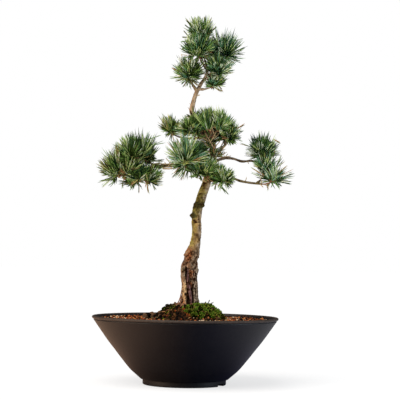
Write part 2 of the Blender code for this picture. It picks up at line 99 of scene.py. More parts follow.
forward = np.array([0.0, math.cos(CAMERA_PITCH), math.sin(CAMERA_PITCH)])
level = np.array([1.0, 0.0, 0.0])
upright = np.cross(level, forward)
right = level * math.cos(CAMERA_ROLL) + upright * math.sin(CAMERA_ROLL)
above = upright * math.cos(CAMERA_ROLL) - level * math.sin(CAMERA_ROLL)
camera = bpy.data.objects.new("camera", bpy.data.cameras.new("camera"))
camera.data.lens = CAMERA_LENS
camera.data.sensor_fit = "HORIZONTAL"
turn = np.eye(4)
turn[:3, :3] = np.stack([right, above, -forward], axis=1)
turn[:3, 3] = CAMERA_PLACE
camera.matrix_world = Matrix(turn.tolist())
bpy.context.collection.objects.link(camera)
bpy.context.scene.camera = camera
bpy.context.scene.view_settings.view_transform = "Standard"
print("camera at", CAMERA_PLACE, "lens", CAMERA_LENS)


# %% Lamps and the white surround
def add_lamp(name, kind, place, aim, energy, colour, **sizes):
    """A lamp at a place that shines towards the aim."""
    lamp = bpy.data.lights.new(name, kind)
    lamp.energy = energy
    lamp.color = colour
    for key, value in sizes.items():
        setattr(lamp, key, value)
    holder = bpy.data.objects.new(name, lamp)
    back = np.array(place, float) - np.array(aim, float)
    back /= np.linalg.norm(back)
    side = np.cross(UP, back)
    side /= np.linalg.norm(side)
    stand = np.eye(4)
    stand[:3, :3] = np.stack([side, np.cross(back, side), back], axis=1)
    stand[:3, 3] = place
    holder.matrix_world = Matrix(stand.tolist())
    bpy.context.collection.objects.link(holder)


add_lamp("key", "SUN", (-1.0, -1.4, 2.6), (0, 0, 0.2), 2.9, (1.0, 0.98, 0.93), angle=math.radians(50))
add_lamp("warm_left", "AREA", (-1.5, -0.6, 0.35), (0, 0, 0.15), 12.0, (1.0, 0.72, 0.50), size=0.8)
add_lamp("cool_right", "AREA", (1.6, -0.5, 0.45), (0, 0, 0.2), 9.0, (0.72, 0.86, 1.0), size=0.7)
print("lamps", [lamp.name for lamp in bpy.data.lights])

# %% The surround, as strong as each kind of ray needs
SURROUND_LIGHT = 0.42
SURROUND_SEEN = 1.0
SURROUND_MIRRORED = 0.12


def add_node(tree, kind, operation=None, **values):
    """A node whose inputs are set, or linked where a value is a socket.

    From_Min names the input From Min, and at_1 is input number 1."""
    node = tree.nodes.new("ShaderNode" + kind)
    if operation:
        node.operation = operation
    for label, value in values.items():
        socket = node.inputs[int(label[3:]) if label.startswith("at_") else label.replace("_", " ")]
        if isinstance(value, bpy.types.NodeSocket):
            tree.links.new(value, socket)
        else:
            socket.default_value = value
    return node


world = bpy.data.worlds.new("studio")
bpy.context.scene.world = world
world.use_nodes = True
sky = world.node_tree
sky.nodes.clear()
seen = add_node(sky, "LightPath")
shown = add_node(
    sky, "MapRange", Value=seen.outputs["Is Camera Ray"], To_Min=SURROUND_LIGHT, To_Max=SURROUND_SEEN,
)
strength = add_node(
    sky, "Math", "MULTIPLY_ADD",
    at_0=seen.outputs["Is Glossy Ray"], at_1=SURROUND_MIRRORED - SURROUND_LIGHT, at_2=shown.outputs["Result"],
)
surround = add_node(sky, "Background", Color=(1, 1, 1, 1), Strength=strength.outputs[0])
add_node(sky, "OutputWorld", Surface=surround.outputs["Background"])
print("surround light", SURROUND_LIGHT, "seen", SURROUND_SEEN, "mirrored", SURROUND_MIRRORED)

# %% [markdown]
# ## Finishes
#
# Bark, soil and glaze all owe their life to small uneven patches. One shader group works the patches out
# from Object coordinates at any size, and each finish places it with its own values. Bark, moss and grit
# are so pitted that they mirror nothing, and only the glaze and the needles mirror a little. The needles
# are different in one more way: thousands of them share a piece, and their tints belong to whole sprays,
# so every tint is a plain finish of its own and is dealt out face by face later.


# %% A shader group for patches of two sizes
def new_group(name, inputs, outputs):
    """An empty shader node group with named float sockets."""
    group = bpy.data.node_groups.new(name, "ShaderNodeTree")
    for label, value in inputs:
        socket = group.interface.new_socket(label, in_out="INPUT", socket_type="NodeSocketFloat")
        socket.default_value = value
    for label in outputs:
        group.interface.new_socket(label, in_out="OUTPUT", socket_type="NodeSocketFloat")
    return group


def patch_group():
    """Patches = noise at 1/size; Grain = noise four times finer; Relief = both added, for a Bump node."""
    sizes = [("Size mm", 5.0), ("Stretch", 1.0)]
    group = new_group("uneven_patches", sizes, ["Patches", "Grain", "Relief"])
    given = group.nodes.new("NodeGroupInput")
    result = group.nodes.new("NodeGroupOutput")
    where = add_node(group, "TexCoord")
    per_metre = add_node(group, "Math", "DIVIDE", at_0=1 / MM, at_1=given.outputs["Size mm"])
    squeeze = add_node(group, "CombineXYZ", X=1.0, Y=1.0, Z=given.outputs["Stretch"])
    shaped = add_node(group, "VectorMath", "MULTIPLY", at_0=where.outputs["Object"], at_1=squeeze.outputs[0])
    fields = []
    for finer in (1.0, 4.0):
        scale = add_node(group, "Math", "MULTIPLY", at_0=per_metre.outputs[0], at_1=finer)
        noise = add_node(
            group, "TexNoise", Vector=shaped.outputs[0], Scale=scale.outputs[0], Detail=4.0, Roughness=0.6,
        )
        sharper = add_node(group, "MapRange", Value=noise.outputs["Fac"], From_Min=0.36, From_Max=0.64)
        fields.append(sharper.outputs["Result"])
    total = add_node(group, "Math", "MULTIPLY_ADD", at_0=fields[1], at_1=0.5, at_2=fields[0])
    for field, label in ((fields[0], "Patches"), (fields[1], "Grain"), (total.outputs[0], "Relief")):
        group.links.new(field, result.inputs[label])
    return group


UNEVEN = patch_group()
print("group", UNEVEN.name, [item.name for item in UNEVEN.interface.items_tree])


# %% Finishes made of two or three colours in patches
def new_finish(name, roughness, **sockets):
    """A material whose shader has its even values set on its own sockets. Pitted things mirror nothing."""
    material = bpy.data.materials.new(name)
    material.use_nodes = True
    shader = material.node_tree.nodes["Principled BSDF"]
    shader.inputs["Roughness"].default_value = roughness
    shader.inputs["Specular IOR Level"].default_value = 0.0
    for label, value in sockets.items():
        shader.inputs[label.replace("_", " ")].default_value = value
    return material, material.node_tree, shader


def place_patches(tree, size, stretch=1.0):
    """The patch group placed in a finish, with its own size and stretch."""
    node = add_node(tree, "Group")
    node.node_tree = UNEVEN
    node.inputs["Size mm"].default_value = size
    node.inputs["Stretch"].default_value = stretch
    return node


def blend_colours(tree, share, first, second, blend="MIX"):
    """A Mix node from one colour to another; each may be a plain colour or a socket."""
    node = add_node(tree, "Mix")
    node.data_type = "RGBA"
    node.blend_type = blend
    tree.links.new(share, node.inputs["Factor"])
    for socket, given in ((node.inputs[6], first), (node.inputs[7], second)):
        if isinstance(given, tuple):
            socket.default_value = (*given, 1.0)
        else:
            tree.links.new(given, socket)
    return node.outputs[2]


def dimmed(tree, share, factor):
    """A share that varies, times a factor."""
    return add_node(tree, "Math", "MULTIPLY", at_0=share, at_1=factor).outputs[0]


def raise_relief(tree, shader, height, depth):
    """A bump of so many millimetres from a height that varies."""
    bump = add_node(tree, "Bump", Distance=depth * MM, Strength=1.0, Height=height)
    tree.links.new(bump.outputs["Normal"], shader.inputs["Normal"])


FLECK_SHARE = 0.55


def patchy_finish(name, colours, size, roughness, depth, **sockets):
    """Two colours in patches, the third in the finer grain, with a bump of the same pattern."""
    material, tree, shader = new_finish(name, roughness, **sockets)
    uneven = place_patches(tree, size)
    ground = blend_colours(tree, uneven.outputs["Patches"], colours[0], colours[1])
    ground = blend_colours(tree, dimmed(tree, uneven.outputs["Grain"], FLECK_SHARE), ground, colours[2])
    tree.links.new(ground, shader.inputs["Base Color"])
    raise_relief(tree, shader, uneven.outputs["Relief"], depth)
    return material


def plain_finish(name, colour, roughness, **sockets):
    """One even colour, for pieces whose tints are dealt out face by face."""
    material, _, shader = new_finish(name, roughness, **sockets)
    shader.inputs["Base Color"].default_value = (*colour, 1.0)
    return material


black_glaze = patchy_finish(
    "black_glaze", ((0.0022, 0.0020, 0.0030), (0.0034, 0.0030, 0.0040), (0.0052, 0.0046, 0.0052)),
    size=6.0, roughness=0.5, depth=0.05, Specular_IOR_Level=0.4,
)
# Painted highlight: the lip is a lighter brown than the glaze, as if lit from above
painted_lip_highlight = patchy_finish(
    "painted_lip_highlight", ((0.034, 0.022, 0.015), (0.050, 0.032, 0.022), (0.016, 0.011, 0.009)),
    size=5.0, roughness=0.55, depth=0.1, Specular_IOR_Level=0.35,
)
damp_soil = patchy_finish(
    "damp_soil", ((0.025, 0.012, 0.007), (0.05, 0.022, 0.011), (0.01, 0.006, 0.004)),
    size=4.0, roughness=0.95, depth=0.8,
)
print("finishes", black_glaze.name, painted_lip_highlight.name, damp_soil.name)

# %% [markdown]
# ## Surfaces from arrays
#
# Nearly everything here is a closed grid: rows that run along a path or a profile, and columns that run
# round it. The same triangles serve a trunk, a root and a turned pot, with one extra point to close each
# end. Points are computed as whole arrays, and `foreach_set` puts them into the mesh in one go.


# %% Grids of triangles and a mesh from them
def unit(vectors):
    """Each vector divided by its own length."""
    vectors = np.asarray(vectors, float)
    return vectors / np.linalg.norm(vectors, axis=-1, keepdims=True)


def closed_grid(rows, columns):
    """Triangles of a grid whose columns close into a ring, with a pole beyond its first and its last row."""
    row, column = np.meshgrid(np.arange(rows - 1), np.arange(columns), indexing="ij")
    after = (column + 1) % columns
    a, b = row * columns + column, row * columns + after
    c, d = (row + 1) * columns + after, (row + 1) * columns + column
    halves = [np.stack(corners, -1).reshape(-1, 3) for corners in ((a, b, c), (a, c, d))]
    ring = np.arange(columns)
    onward = (ring + 1) % columns
    last = (rows - 1) * columns
    near = np.stack([np.full(columns, rows * columns), onward, ring], -1)
    far = np.stack([np.full(columns, rows * columns + 1), last + ring, last + onward], -1)
    return np.concatenate([*halves, near, far])


def join_shells(shells):
    """Many (points, triangles) as one pair, each shell's corner numbers moved past those before it."""
    counts = np.cumsum([0] + [len(points) for points, _ in shells])
    points = np.concatenate([points for points, _ in shells])
    faces = np.concatenate([faces + start for (_, faces), start in zip(shells, counts)])
    return points, faces


def lay_mesh(name, points, faces, finishes, slots=None, shaded="smooth", **marks):
    """A piece from points in millimetres, triangles, finishes, a finish number for each face, and marks."""
    mesh = bpy.data.meshes.new(name)
    mesh.vertices.add(len(points))
    mesh.vertices.foreach_set("co", (np.asarray(points) * MM).astype(np.float32).ravel())
    mesh.loops.add(faces.size)
    mesh.loops.foreach_set("vertex_index", faces.astype(np.int32).ravel())
    mesh.polygons.add(len(faces))
    mesh.polygons.foreach_set("loop_start", np.arange(0, faces.size, 3, dtype=np.int32))
    for finish in finishes:
        mesh.materials.append(finish)
    if slots is not None:
        mesh.polygons.foreach_set("material_index", slots.astype(np.int32))
    mesh.update(calc_edges=True)
    mesh.validate()
    if shaded == "smooth":
        mesh.shade_smooth()
    else:
        mesh.shade_flat()
    for label, values in marks.items():
        attribute = mesh.attributes.new(label, "FLOAT", "POINT")
        attribute.data.foreach_set("value", values.astype(np.float32).ravel())
    piece = bpy.data.objects.new(name, mesh)
    bpy.context.collection.objects.link(piece)
    print(name, "triangles", len(faces), "reaches", np.round(points.min(0), 1), np.round(points.max(0), 1))
    return piece


# %% Smooth lines through stations, and frames round them
def smooth(stations, per_span):
    """Points of a Catmull-Rom curve through the stations, per_span to each span."""
    rows = np.asarray(stations, float)
    padded = np.vstack([2 * rows[0] - rows[1], rows, 2 * rows[-1] - rows[-2]])
    t = np.linspace(0, 1, per_span, endpoint=False)[:, None]
    spans = [
        0.5 * (2 * b + (c - a) * t + (2 * a - 5 * b + 4 * c - d) * t**2 + (3 * b - a - 3 * c + d) * t**3)
        for a, b, c, d in zip(padded, padded[1:], padded[2:], padded[3:])
    ]
    return np.vstack([*spans, rows[-1:]])


def even_steps(rows, step):
    """The rows of a line moved to equal steps along its length."""
    run = np.concatenate([[0], np.cumsum(np.linalg.norm(np.diff(rows[:, :3], axis=0), axis=1))])
    marks = np.linspace(0, run[-1], max(round(run[-1] / step), 3) + 1)
    return np.stack([np.interp(marks, run, column) for column in rows.T], axis=1)


def frames_along(line):
    """Unit vectors along a line and two square to them, from the axis that the line keeps furthest from."""
    along = unit(np.gradient(line, axis=0))
    rest = np.eye(3)[np.abs(along).max(axis=0).argmin()]
    first = unit(np.cross(along, rest))
    return along, first, np.cross(along, first)


def frames_across(ways):
    """Each unit vector and two more square to it, from the axis that it is least along."""
    rest = np.eye(3)[np.abs(ways).argmin(axis=-1)]
    first = unit(np.cross(ways, rest))
    return ways, first, np.cross(ways, first)


def spokes(first, second, turns):
    """first cos a + second sin a, for each pair of vectors and each turn a."""
    turns = np.asarray(turns)[None, :, None]
    return first[:, None] * np.cos(turns) + second[:, None] * np.sin(turns)


def full_turn(steps):
    """Even turns round a circle, the last one short of the first by a step."""
    return np.linspace(0, 2 * math.pi, steps, endpoint=False)


print("quarter turns", np.round(spokes(np.eye(3)[:1], np.eye(3)[1:2], full_turn(4)), 3).tolist())


# %% Noise for relief
def dice_of(cells, seed):
    """A fixed number from 0 to 1 for each cell: its coordinates times large primes, mixed by bits."""
    x, y, z = np.moveaxis(cells.astype(np.int64), -1, 0)
    mixed = (x * 374761393 + y * 668265263 + z * 1442695041 + seed * 144269) & 0xFFFFFFFF
    mixed = ((mixed ^ (mixed >> 13)) * 1274126177) & 0xFFFFFFFF
    return ((mixed ^ (mixed >> 16)) & 0xFFFF) / 65535.0


def ripple(points, size, seed):
    """Smooth noise from -1 to 1: the eight corners of a cell of that size, blended by 3t² - 2t³."""
    places = np.asarray(points, float) / size
    low = np.floor(places)
    share = (places - low) ** 2 * (3 - 2 * (places - low))
    total = 0.0
    for corner in np.ndindex(2, 2, 2):
        weight = np.prod(np.where(corner, share, 1 - share), axis=-1)
        total = total + weight * dice_of(low + corner, seed)
    return 2 * total - 1


def plates(points, size, seed):
    """Cells round scattered middles: (gap between the two nearest distances, the nearest cell's number)."""
    places = np.asarray(points, float) / size
    low = np.floor(places)
    nearest = np.full(places.shape[:-1], 9.0)
    second = nearest.copy()
    own = np.zeros_like(nearest)
    for step in np.ndindex(3, 3, 3):
        cell = low + np.array(step) - 1
        middle = cell + np.stack([dice_of(cell, seed + k) for k in (1, 2, 3)], axis=-1)
        away = np.linalg.norm(places - middle, axis=-1)
        closer = away < nearest
        second = np.where(closer, nearest, np.minimum(second, away))
        own = np.where(closer, dice_of(cell, seed + 4), own)
        nearest = np.minimum(nearest, away)
    return second - nearest, own


def ramp(values, start, end):
    """0 before start, 1 after end, and 3t² - 2t³ between."""
    t = np.clip((values - start) / (end - start), 0, 1)
    return t * t * (3 - 2 * t)


print("noise check", np.round(ripple(np.array([[1.5, 2.5, 3.5], [40, 2, 9]]), 2.0, 1), 3))

# %% [markdown]
# ## The bowl
#
# The pot is a wide, thin bowl of matt black ware. Its wall is nearly straight, its lip is a rounded bead
# with a painted highlight of lighter brown, with a fine dark line under it, and it stands on a low foot. A
# thrown bowl is a profile turned about its axis, so that is how it is made here: points of (radius, height)
# from the middle of the underside, out and up the wall, over the lip, and down inside. Two grooves across
# the foot let the drain holes run.

# %% The bowl's profile, turned
WALL = (
    (70.5, 9.0), (77.5, 15.0), (88.0, 24.5), (101.3, 40.5), (113.8, 56.5), (126.3, 72.5), (147.2, 102.2),
)
WALL_THICKNESS = 4.9
FLOOR_HEIGHT = 7.0
FOOT = (
    (0.01, 0.0), (40.0, 0.0), (65.6, 0.0), (66.4, 0.3), (66.9, 0.8), (67.0, 1.6), (67.0, 5.0),
    (67.1, 8.3), (67.5, 8.9), (68.4, 9.0),
)
LIP = (
    (147.0, 102.9), (146.9, 103.3), (147.5, 103.8), (148.7, 104.3), (149.6, 105.1), (150.0, 106.3),
    (149.8, 107.3), (149.1, 108.1), (148.0, 108.5), (146.8, 108.3), (145.8, 107.6), (145.2, 106.4),
)
LIP_START = 104.2
POT_COLUMNS = 240


def turned_surface(profile, columns):
    """Points (r cos a, r sin a, z) for each (r, z) of a profile, closed by its two ends on the axis."""
    profile = np.asarray(profile, float)
    around = full_turn(columns)
    ring = np.stack([np.cos(around), np.sin(around)], -1)
    rows = profile[:, None, :1] * ring[None]
    heights = np.repeat(profile[:, 1:], columns, axis=1)[..., None]
    points = np.concatenate([rows, heights], axis=-1).reshape(-1, 3)
    poles = [(0, 0, profile[0][1]), (0, 0, profile[-1][1])]
    return np.vstack([points, poles]), closed_grid(len(profile), columns)


wall = smooth(WALL, 7)
inner = wall[::-3] - (WALL_THICKNESS, 0)
bowl_profile = np.vstack([FOOT, wall, LIP, inner[2:], ((56.0, FLOOR_HEIGHT), (0.01, FLOOR_HEIGHT))])
bowl_points, bowl_faces = turned_surface(bowl_profile, POT_COLUMNS)
on_lip = bowl_points[bowl_faces].mean(1)[:, 2] > LIP_START
bowl = lay_mesh("bowl", bowl_points, bowl_faces, [black_glaze, painted_lip_highlight], on_lip.astype(int))
print("lip radius", bowl_profile[:, 0].max(), "height", bowl_profile[:, 1].max())

# %% Grooves and drain holes cut from the foot
GROOVE_ANGLES = (62, 242)
GROOVE_HALF_WIDTH = 10.0
GROOVE_HEIGHT = 4.0
DRAIN_DISTANCE = 42.0
DRAIN_RADIUS = 6.0
CUT_BELOW = 5.0
CUT_OUT_TO = 80.0


def cut_away(obj, points, faces):
    """The mesh left when a closed shape is taken from obj by a Boolean modifier, applied at once."""
    cutter_mesh = bpy.data.meshes.new("cutter")
    cutter_mesh.from_pydata((points * MM).tolist(), [], faces.tolist())
    cutter = bpy.data.objects.new("cutter", cutter_mesh)
    bpy.context.collection.objects.link(cutter)
    modifier = obj.modifiers.new("cut", "BOOLEAN")
    modifier.object = cutter
    modifier.operation = "DIFFERENCE"
    modifier.solver = "EXACT"
    graph = bpy.context.evaluated_depsgraph_get()
    graph.update()
    mesh = bpy.data.meshes.new_from_object(obj.evaluated_get(graph))
    obj.modifiers.clear()
    obj.data = mesh
    bpy.data.objects.remove(cutter)


for angle in np.radians(GROOVE_ANGLES):
    way = np.array([math.sin(angle), -math.cos(angle), 0])
    side = np.array([math.cos(angle), math.sin(angle), 0])
    drain, drain_faces = turned_surface(((DRAIN_RADIUS, -CUT_BELOW), (DRAIN_RADIUS, FLOOR_HEIGHT + 5)), 24)
    cut_away(bowl, drain + way * DRAIN_DISTANCE, drain_faces)
    along = np.array([DRAIN_DISTANCE, CUT_OUT_TO, CUT_OUT_TO, DRAIN_DISTANCE])[:, None]
    across = np.array([-1, -1, 1, 1])[:, None]
    plan = along * way + across * GROOVE_HALF_WIDTH * side
    rows = np.stack([plan - UP * CUT_BELOW, plan + UP * GROOVE_HEIGHT])
    cut_away(bowl, np.vstack([*rows, rows.mean(axis=1)]), closed_grid(2, 4))
bowl.data.shade_smooth()
bowl.data.set_sharp_from_angle(angle=math.radians(28))
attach(bowl, "root")
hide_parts("pot")
print("bowl faces", len(bowl.data.polygons))

# %% [markdown]
# ## Soil and grit
#
# Bonsai soil is fired clay grit, red and orange with some brown and a few pale stones, heaped a little
# towards the trunk. The bed below is one dark surface. The grit is about four thousand separate grains,
# because loose grains catch light on their own facets. Each is a twenty-sided ball with its corners
# pushed in and out, and each has one of five plain clay colours, darker ones on the damp heap.

# %% The heaped bed
SOIL_HEIGHT = 103.0
GROUND_HEIGHT = 124.7
MOUND_CENTRE = np.array([9.0, 1.0])
MOUND_TOP_RADIUS = 23.0
MOUND_RADIUS = 58.0
SOIL_GAP = 0.4


def mound_height(plan):
    """Height of the soil: a flat top that falls as a parabola to the level near the wall."""
    away = np.linalg.norm(np.asarray(plan) - MOUND_CENTRE, axis=-1)
    share = np.clip((away - MOUND_TOP_RADIUS) / (MOUND_RADIUS - MOUND_TOP_RADIUS), 0, 1)
    return SOIL_HEIGHT + (GROUND_HEIGHT - SOIL_HEIGHT) * (1 - share**2)


SOIL_EDGE = 141.8
side = [
    (radius - SOIL_GAP, height)
    for radius, height in inner[::-1] if FLOOR_HEIGHT + 4 < height < SOIL_HEIGHT - 4
]
top = [(radius, SOIL_HEIGHT) for radius in np.linspace(SOIL_EDGE, 0.01, 60)]
bed_profile = [(0.01, FLOOR_HEIGHT + SOIL_GAP), (side[0][0] - 4, FLOOR_HEIGHT + SOIL_GAP), *side, *top]
bed, bed_faces = turned_surface(bed_profile, 120)
surface = bed[:, 2] > SOIL_HEIGHT - 0.1
bed[surface, 2] = mound_height(bed[surface, :2]) - 0.6 + 0.7 * ripple(bed[surface], 4.0, 11)


def belong(piece, slot, *nodes):
    """The piece rides on the plant's one body and hides the imported nodes that it stands for. The slot is
    not used.
    """
    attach(piece, "root")
    if nodes:
        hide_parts(*nodes)


belong(lay_mesh("soil_bed", bed, bed_faces, [damp_soil]), "grit_soil", "soil")

# %% Grains of grit
GRAIN_COUNT = 4300
GRAIN_COLOURS = {
    "red_clay": (0.175, 0.038, 0.012), "orange_clay": (0.42, 0.155, 0.05),
    "brown_clay": (0.085, 0.038, 0.015), "dark_clay": (0.008, 0.006, 0.005),
    "cream_stone": (0.52, 0.38, 0.25),
}
GRAIN_SHARES = (0.22, 0.15, 0.22, 0.35, 0.06)
ORANGE_CLAY, BROWN_CLAY, DARK_CLAY, CREAM_STONE = 1, 2, 3, 4
GRIT_RADIUS, GRIT_EDGE = 138.6, 140.6
grain_finishes = [plain_finish(name, colour, 0.9) for name, colour in GRAIN_COLOURS.items()]


def twenty_sided():
    """Corners and triangles of an icosahedron: three golden rectangles, and the triples of near corners."""
    long = (1 + math.sqrt(5)) / 2
    flat = np.array([(0, a, b * long) for a in (-1, 1) for b in (-1, 1)])
    corners = unit(np.concatenate([np.roll(flat, k, axis=1) for k in range(3)]))
    near = corners @ corners.T > 0.4
    triples = [
        (i, j, k)
        for i in range(12) for j in range(i + 1, 12) for k in range(j + 1, 12)
        if near[i, j] and near[j, k] and near[i, k]
    ]
    faces = np.array(triples)
    a, b, c = (corners[faces[:, k]] for k in range(3))
    inward = (np.cross(b - a, c - a) * a).sum(-1) < 0
    faces[inward] = faces[inward][:, ::-1]
    return corners, faces


BALL, BALL_FACES = twenty_sided()


def turned_at_random(count, dice):
    """Rotation matrices from random unit quaternions."""
    w, x, y, z = unit(dice.normal(size=(count, 4))).T
    return np.stack([
        np.stack([1 - 2 * (y * y + z * z), 2 * (x * y - w * z), 2 * (x * z + w * y)], -1),
        np.stack([2 * (x * y + w * z), 1 - 2 * (x * x + z * z), 2 * (y * z - w * x)], -1),
        np.stack([2 * (x * z - w * y), 2 * (y * z + w * x), 1 - 2 * (x * x + y * y)], -1),
    ], axis=-2)


def scatter_grains(places, sizes, dice):
    """A ball at each place: corners pushed in or out by up to a fifth, stretched, and turned at random."""
    count = len(places)
    corners = BALL[None] * dice.uniform(0.8, 1.2, (count, 12, 1)) * dice.uniform(0.6, 1.2, (count, 1, 3))
    corners = np.einsum("nij,nkj->nki", turned_at_random(count, dice), corners)
    points = places[:, None] + corners * sizes[:, None, None]
    faces = BALL_FACES[None] + 12 * np.arange(count)[:, None, None]
    return points.reshape(-1, 3), faces.reshape(-1, 3)


def spiral_plan(count, radius):
    """Places spread evenly over a disc, on a golden-angle spiral."""
    step = np.arange(count) + 0.5
    away = radius * np.sqrt(step / count)
    return np.stack([away * np.cos(step * GOLDEN_ANGLE), away * np.sin(step * GOLDEN_ANGLE)], axis=-1)


dice = np.random.default_rng(31)
plan = spiral_plan(GRAIN_COUNT, GRIT_RADIUS) + dice.normal(0, 1.2, (GRAIN_COUNT, 2))
sizes = dice.uniform(1.3, 3.0, GRAIN_COUNT) * np.where(dice.random(GRAIN_COUNT) < 0.05, 1.4, 1.0)
inside = np.linalg.norm(plan, axis=-1) + sizes < GRIT_EDGE
plan, sizes = plan[inside], sizes[inside]
places = np.column_stack([plan, mound_height(plan) - 0.3 + dice.uniform(-0.3, 0.7, len(plan))])
grit, grit_faces = scatter_grains(places, sizes, dice)
drawn = dice.choice(len(GRAIN_SHARES), len(places), p=GRAIN_SHARES)
# The heap is damp, a little further out at the left: its orange grains turn brown and its cream ones dark
heaped = np.linalg.norm(plan - MOUND_CENTRE, axis=-1) < 54 - 0.18 * plan[:, 0]
drawn = np.where(heaped & (drawn == ORANGE_CLAY), BROWN_CLAY, drawn)
drawn = np.where(heaped & (drawn == CREAM_STONE), DARK_CLAY, drawn)
belong(lay_mesh("grit", grit, grit_faces, grain_finishes, np.repeat(drawn, 20), "flat"), "grit_soil")

# %% [markdown]
# ## Moss
#
# A bright cushion of moss lies at the trunk's right and front, and a thinner, darker one among clods at
# its left. Seen close, moss is a lumpy pad of tiny upright leaves. The pad is a flattened dome over the
# mound, with its rim pulled in and out by noise. The leaves are four-faced spikes in four plain tints,
# bright, yellow, dark and dry, which stand on points drawn from the pad and lean every way. The tints
# follow the pad's lumps: bright and yellow ones on the tops as painted light, dark ones in the hollows as
# painted shade. Few of the left cushion's leaves are green, because it is drying out.

# %% Cushions
# Each has its centre, its half widths and the thickness of its pad before the lumps
MOSS = {
    "moss_right": ((34.0, -11.0), (32.0, 37.0), 1.2),
    "moss_left": ((-24.0, -6.0), (21.0, 27.0), 0.3),
    "moss_front": ((16.5, -34.0), (20.0, 21.0), 1.0),
}
MOSS_COLUMNS = 110
MOSS_ROWS = 40
UNDER_ROWS = 7
CLUMP, CLUMP_SEED = 3.4, 3
moss_pad = patchy_finish(
    "moss_pad", ((0.008, 0.012, 0.004), (0.018, 0.028, 0.006), (0.010, 0.006, 0.004)),
    size=3.0, roughness=0.95, depth=0.9,
)
moss_leaf_finishes = [
    plain_finish("moss_bright", (0.085, 0.155, 0.014), 0.95),
    plain_finish("moss_yellow", (0.195, 0.205, 0.030), 0.95),
    plain_finish("moss_dark", (0.006, 0.011, 0.001), 0.95),
    plain_finish("moss_dry", (0.045, 0.019, 0.007), 0.95),
]


def cushion(centre, half, thickness, seed):
    """A dome over the mound: rise = sqrt(1 - s²) (thickness + lumps), its rim's half widths times noise."""
    share = np.concatenate([np.linspace(0.01, 1, UNDER_ROWS + 1)[:-1], np.linspace(1, 0.01, MOSS_ROWS)])
    share = share[:, None]
    under = np.arange(len(share))[:, None] < UNDER_ROWS
    around = full_turn(MOSS_COLUMNS)[None]
    ring = np.stack([np.cos(around), np.sin(around)], -1)
    rim = 0.87 + 0.12 * ripple(np.concatenate([ring * 3.1, ring[..., :1] * 0], -1), 1.0, seed)
    plan = np.array(centre) + share[..., None] * rim[..., None] * ring * np.array(half)
    ground = mound_height(plan)
    places = np.concatenate([plan, ground[..., None] * 0], -1)
    lumps = 1.2 * ripple(places, 9.0, seed) + 2.1 * ripple(places, CLUMP, CLUMP_SEED)
    lumps = lumps + 0.4 * ripple(places, 1.8, seed)
    rise = np.sqrt(np.clip(1 - share**2, 0, 1)) * np.maximum(thickness + lumps, 0.15)
    height = ground + np.where(under, 0.1, rise)
    points = np.concatenate([plan, height[..., None]], -1)
    poles = np.array([points[0].mean(0), points[-1].mean(0)])
    return np.vstack([points.reshape(-1, 3), poles]), closed_grid(len(share), MOSS_COLUMNS)


pads = {}
for seed, (name, (centre, half, thickness)) in enumerate(MOSS.items()):
    pads[name] = cushion(centre, half, thickness, 5 + 9 * seed)
    replaced = [name] if name != "moss_front" else []
    belong(lay_mesh(name + "_cushion", *pads[name], [moss_pad]), "moss_green", *replaced)

# %% Leaves of moss, on the cushions and thinly over the mound round the trunk
# How many leaves each cushion has, and the shares of bright, yellow, dark and dry ones
MOSS_LEAVES = (
    ("moss_right", 2700, (0.23, 0.16, 0.53, 0.08)), ("moss_front", 1300, (0.23, 0.14, 0.53, 0.10)),
    ("moss_left", 800, (0.01, 0.03, 0.34, 0.62)),
)
THIN_MOSS_COUNT = 1400
THIN_MOSS_REACH = 125
THIN_MOSS_CHANCES = (0.02, 0.05, 0.35, 0.58)


def spikes(roots, ways, lengths, widths):
    """A slim four-faced spike at each root: three corners round the root and one at its tip."""
    _, first, second = frames_across(ways)
    ring = spokes(first, second, np.arange(3) * 2 * math.pi / 3)
    feet = roots[:, None] + ring * widths[:, None, None]
    tips = (roots + ways * lengths[:, None])[:, None]
    points = np.concatenate([feet, tips], axis=1).reshape(-1, 3)
    faces = np.array([(0, 1, 3), (1, 2, 3), (2, 0, 3), (0, 2, 1)])
    return points, (faces[None] + 4 * np.arange(len(roots))[:, None, None]).reshape(-1, 3)


def points_on(points, faces, count, dice):
    """Random points spread evenly over a surface by the area of its triangles, and the normals there."""
    a, b, c = (points[faces[:, k]] for k in range(3))
    across = np.cross(b - a, c - a)
    area = np.linalg.norm(across, axis=-1)
    area = np.where(across[:, 2] > 0.05 * area, area, 0)
    drawn = dice.choice(len(faces), count, p=area / area.sum())
    u, v = np.sort(dice.random((2, count, 1)), axis=0)
    return a[drawn] * u + b[drawn] * (v - u) + c[drawn] * (1 - v), unit(across[drawn])


def moss_leaves(roots, normals, chances, dice):
    """Leaves in clumps: their size follows the noise of the pad's lumps, and so does their tint, as painted
    light and shade: bright and yellow on the tops, dark and dry in the gaps.
    """
    count = len(roots)
    clump = ripple(roots * (1, 1, 0), CLUMP, CLUMP_SEED)
    ways = unit(normals + dice.normal(0, 0.55, (count, 3)) + 0.3 * UP)
    sizes = dice.uniform(0.75, 1.25, count) * (1 + 0.3 * clump)
    shell = spikes(roots - ways * 0.5, ways, 3.8 * sizes, 1.3 * sizes)
    # Painted light and shade: leaves on high lumps get the first tints, bright and yellow, those in the gaps
    # dark and dry
    lit_tops_first = np.argsort(np.argsort(0.6 * dice.random(count) - 1.1 * clump)) / count
    return shell, np.repeat(np.searchsorted(np.cumsum(chances), lit_tops_first).clip(0, 3), 4)


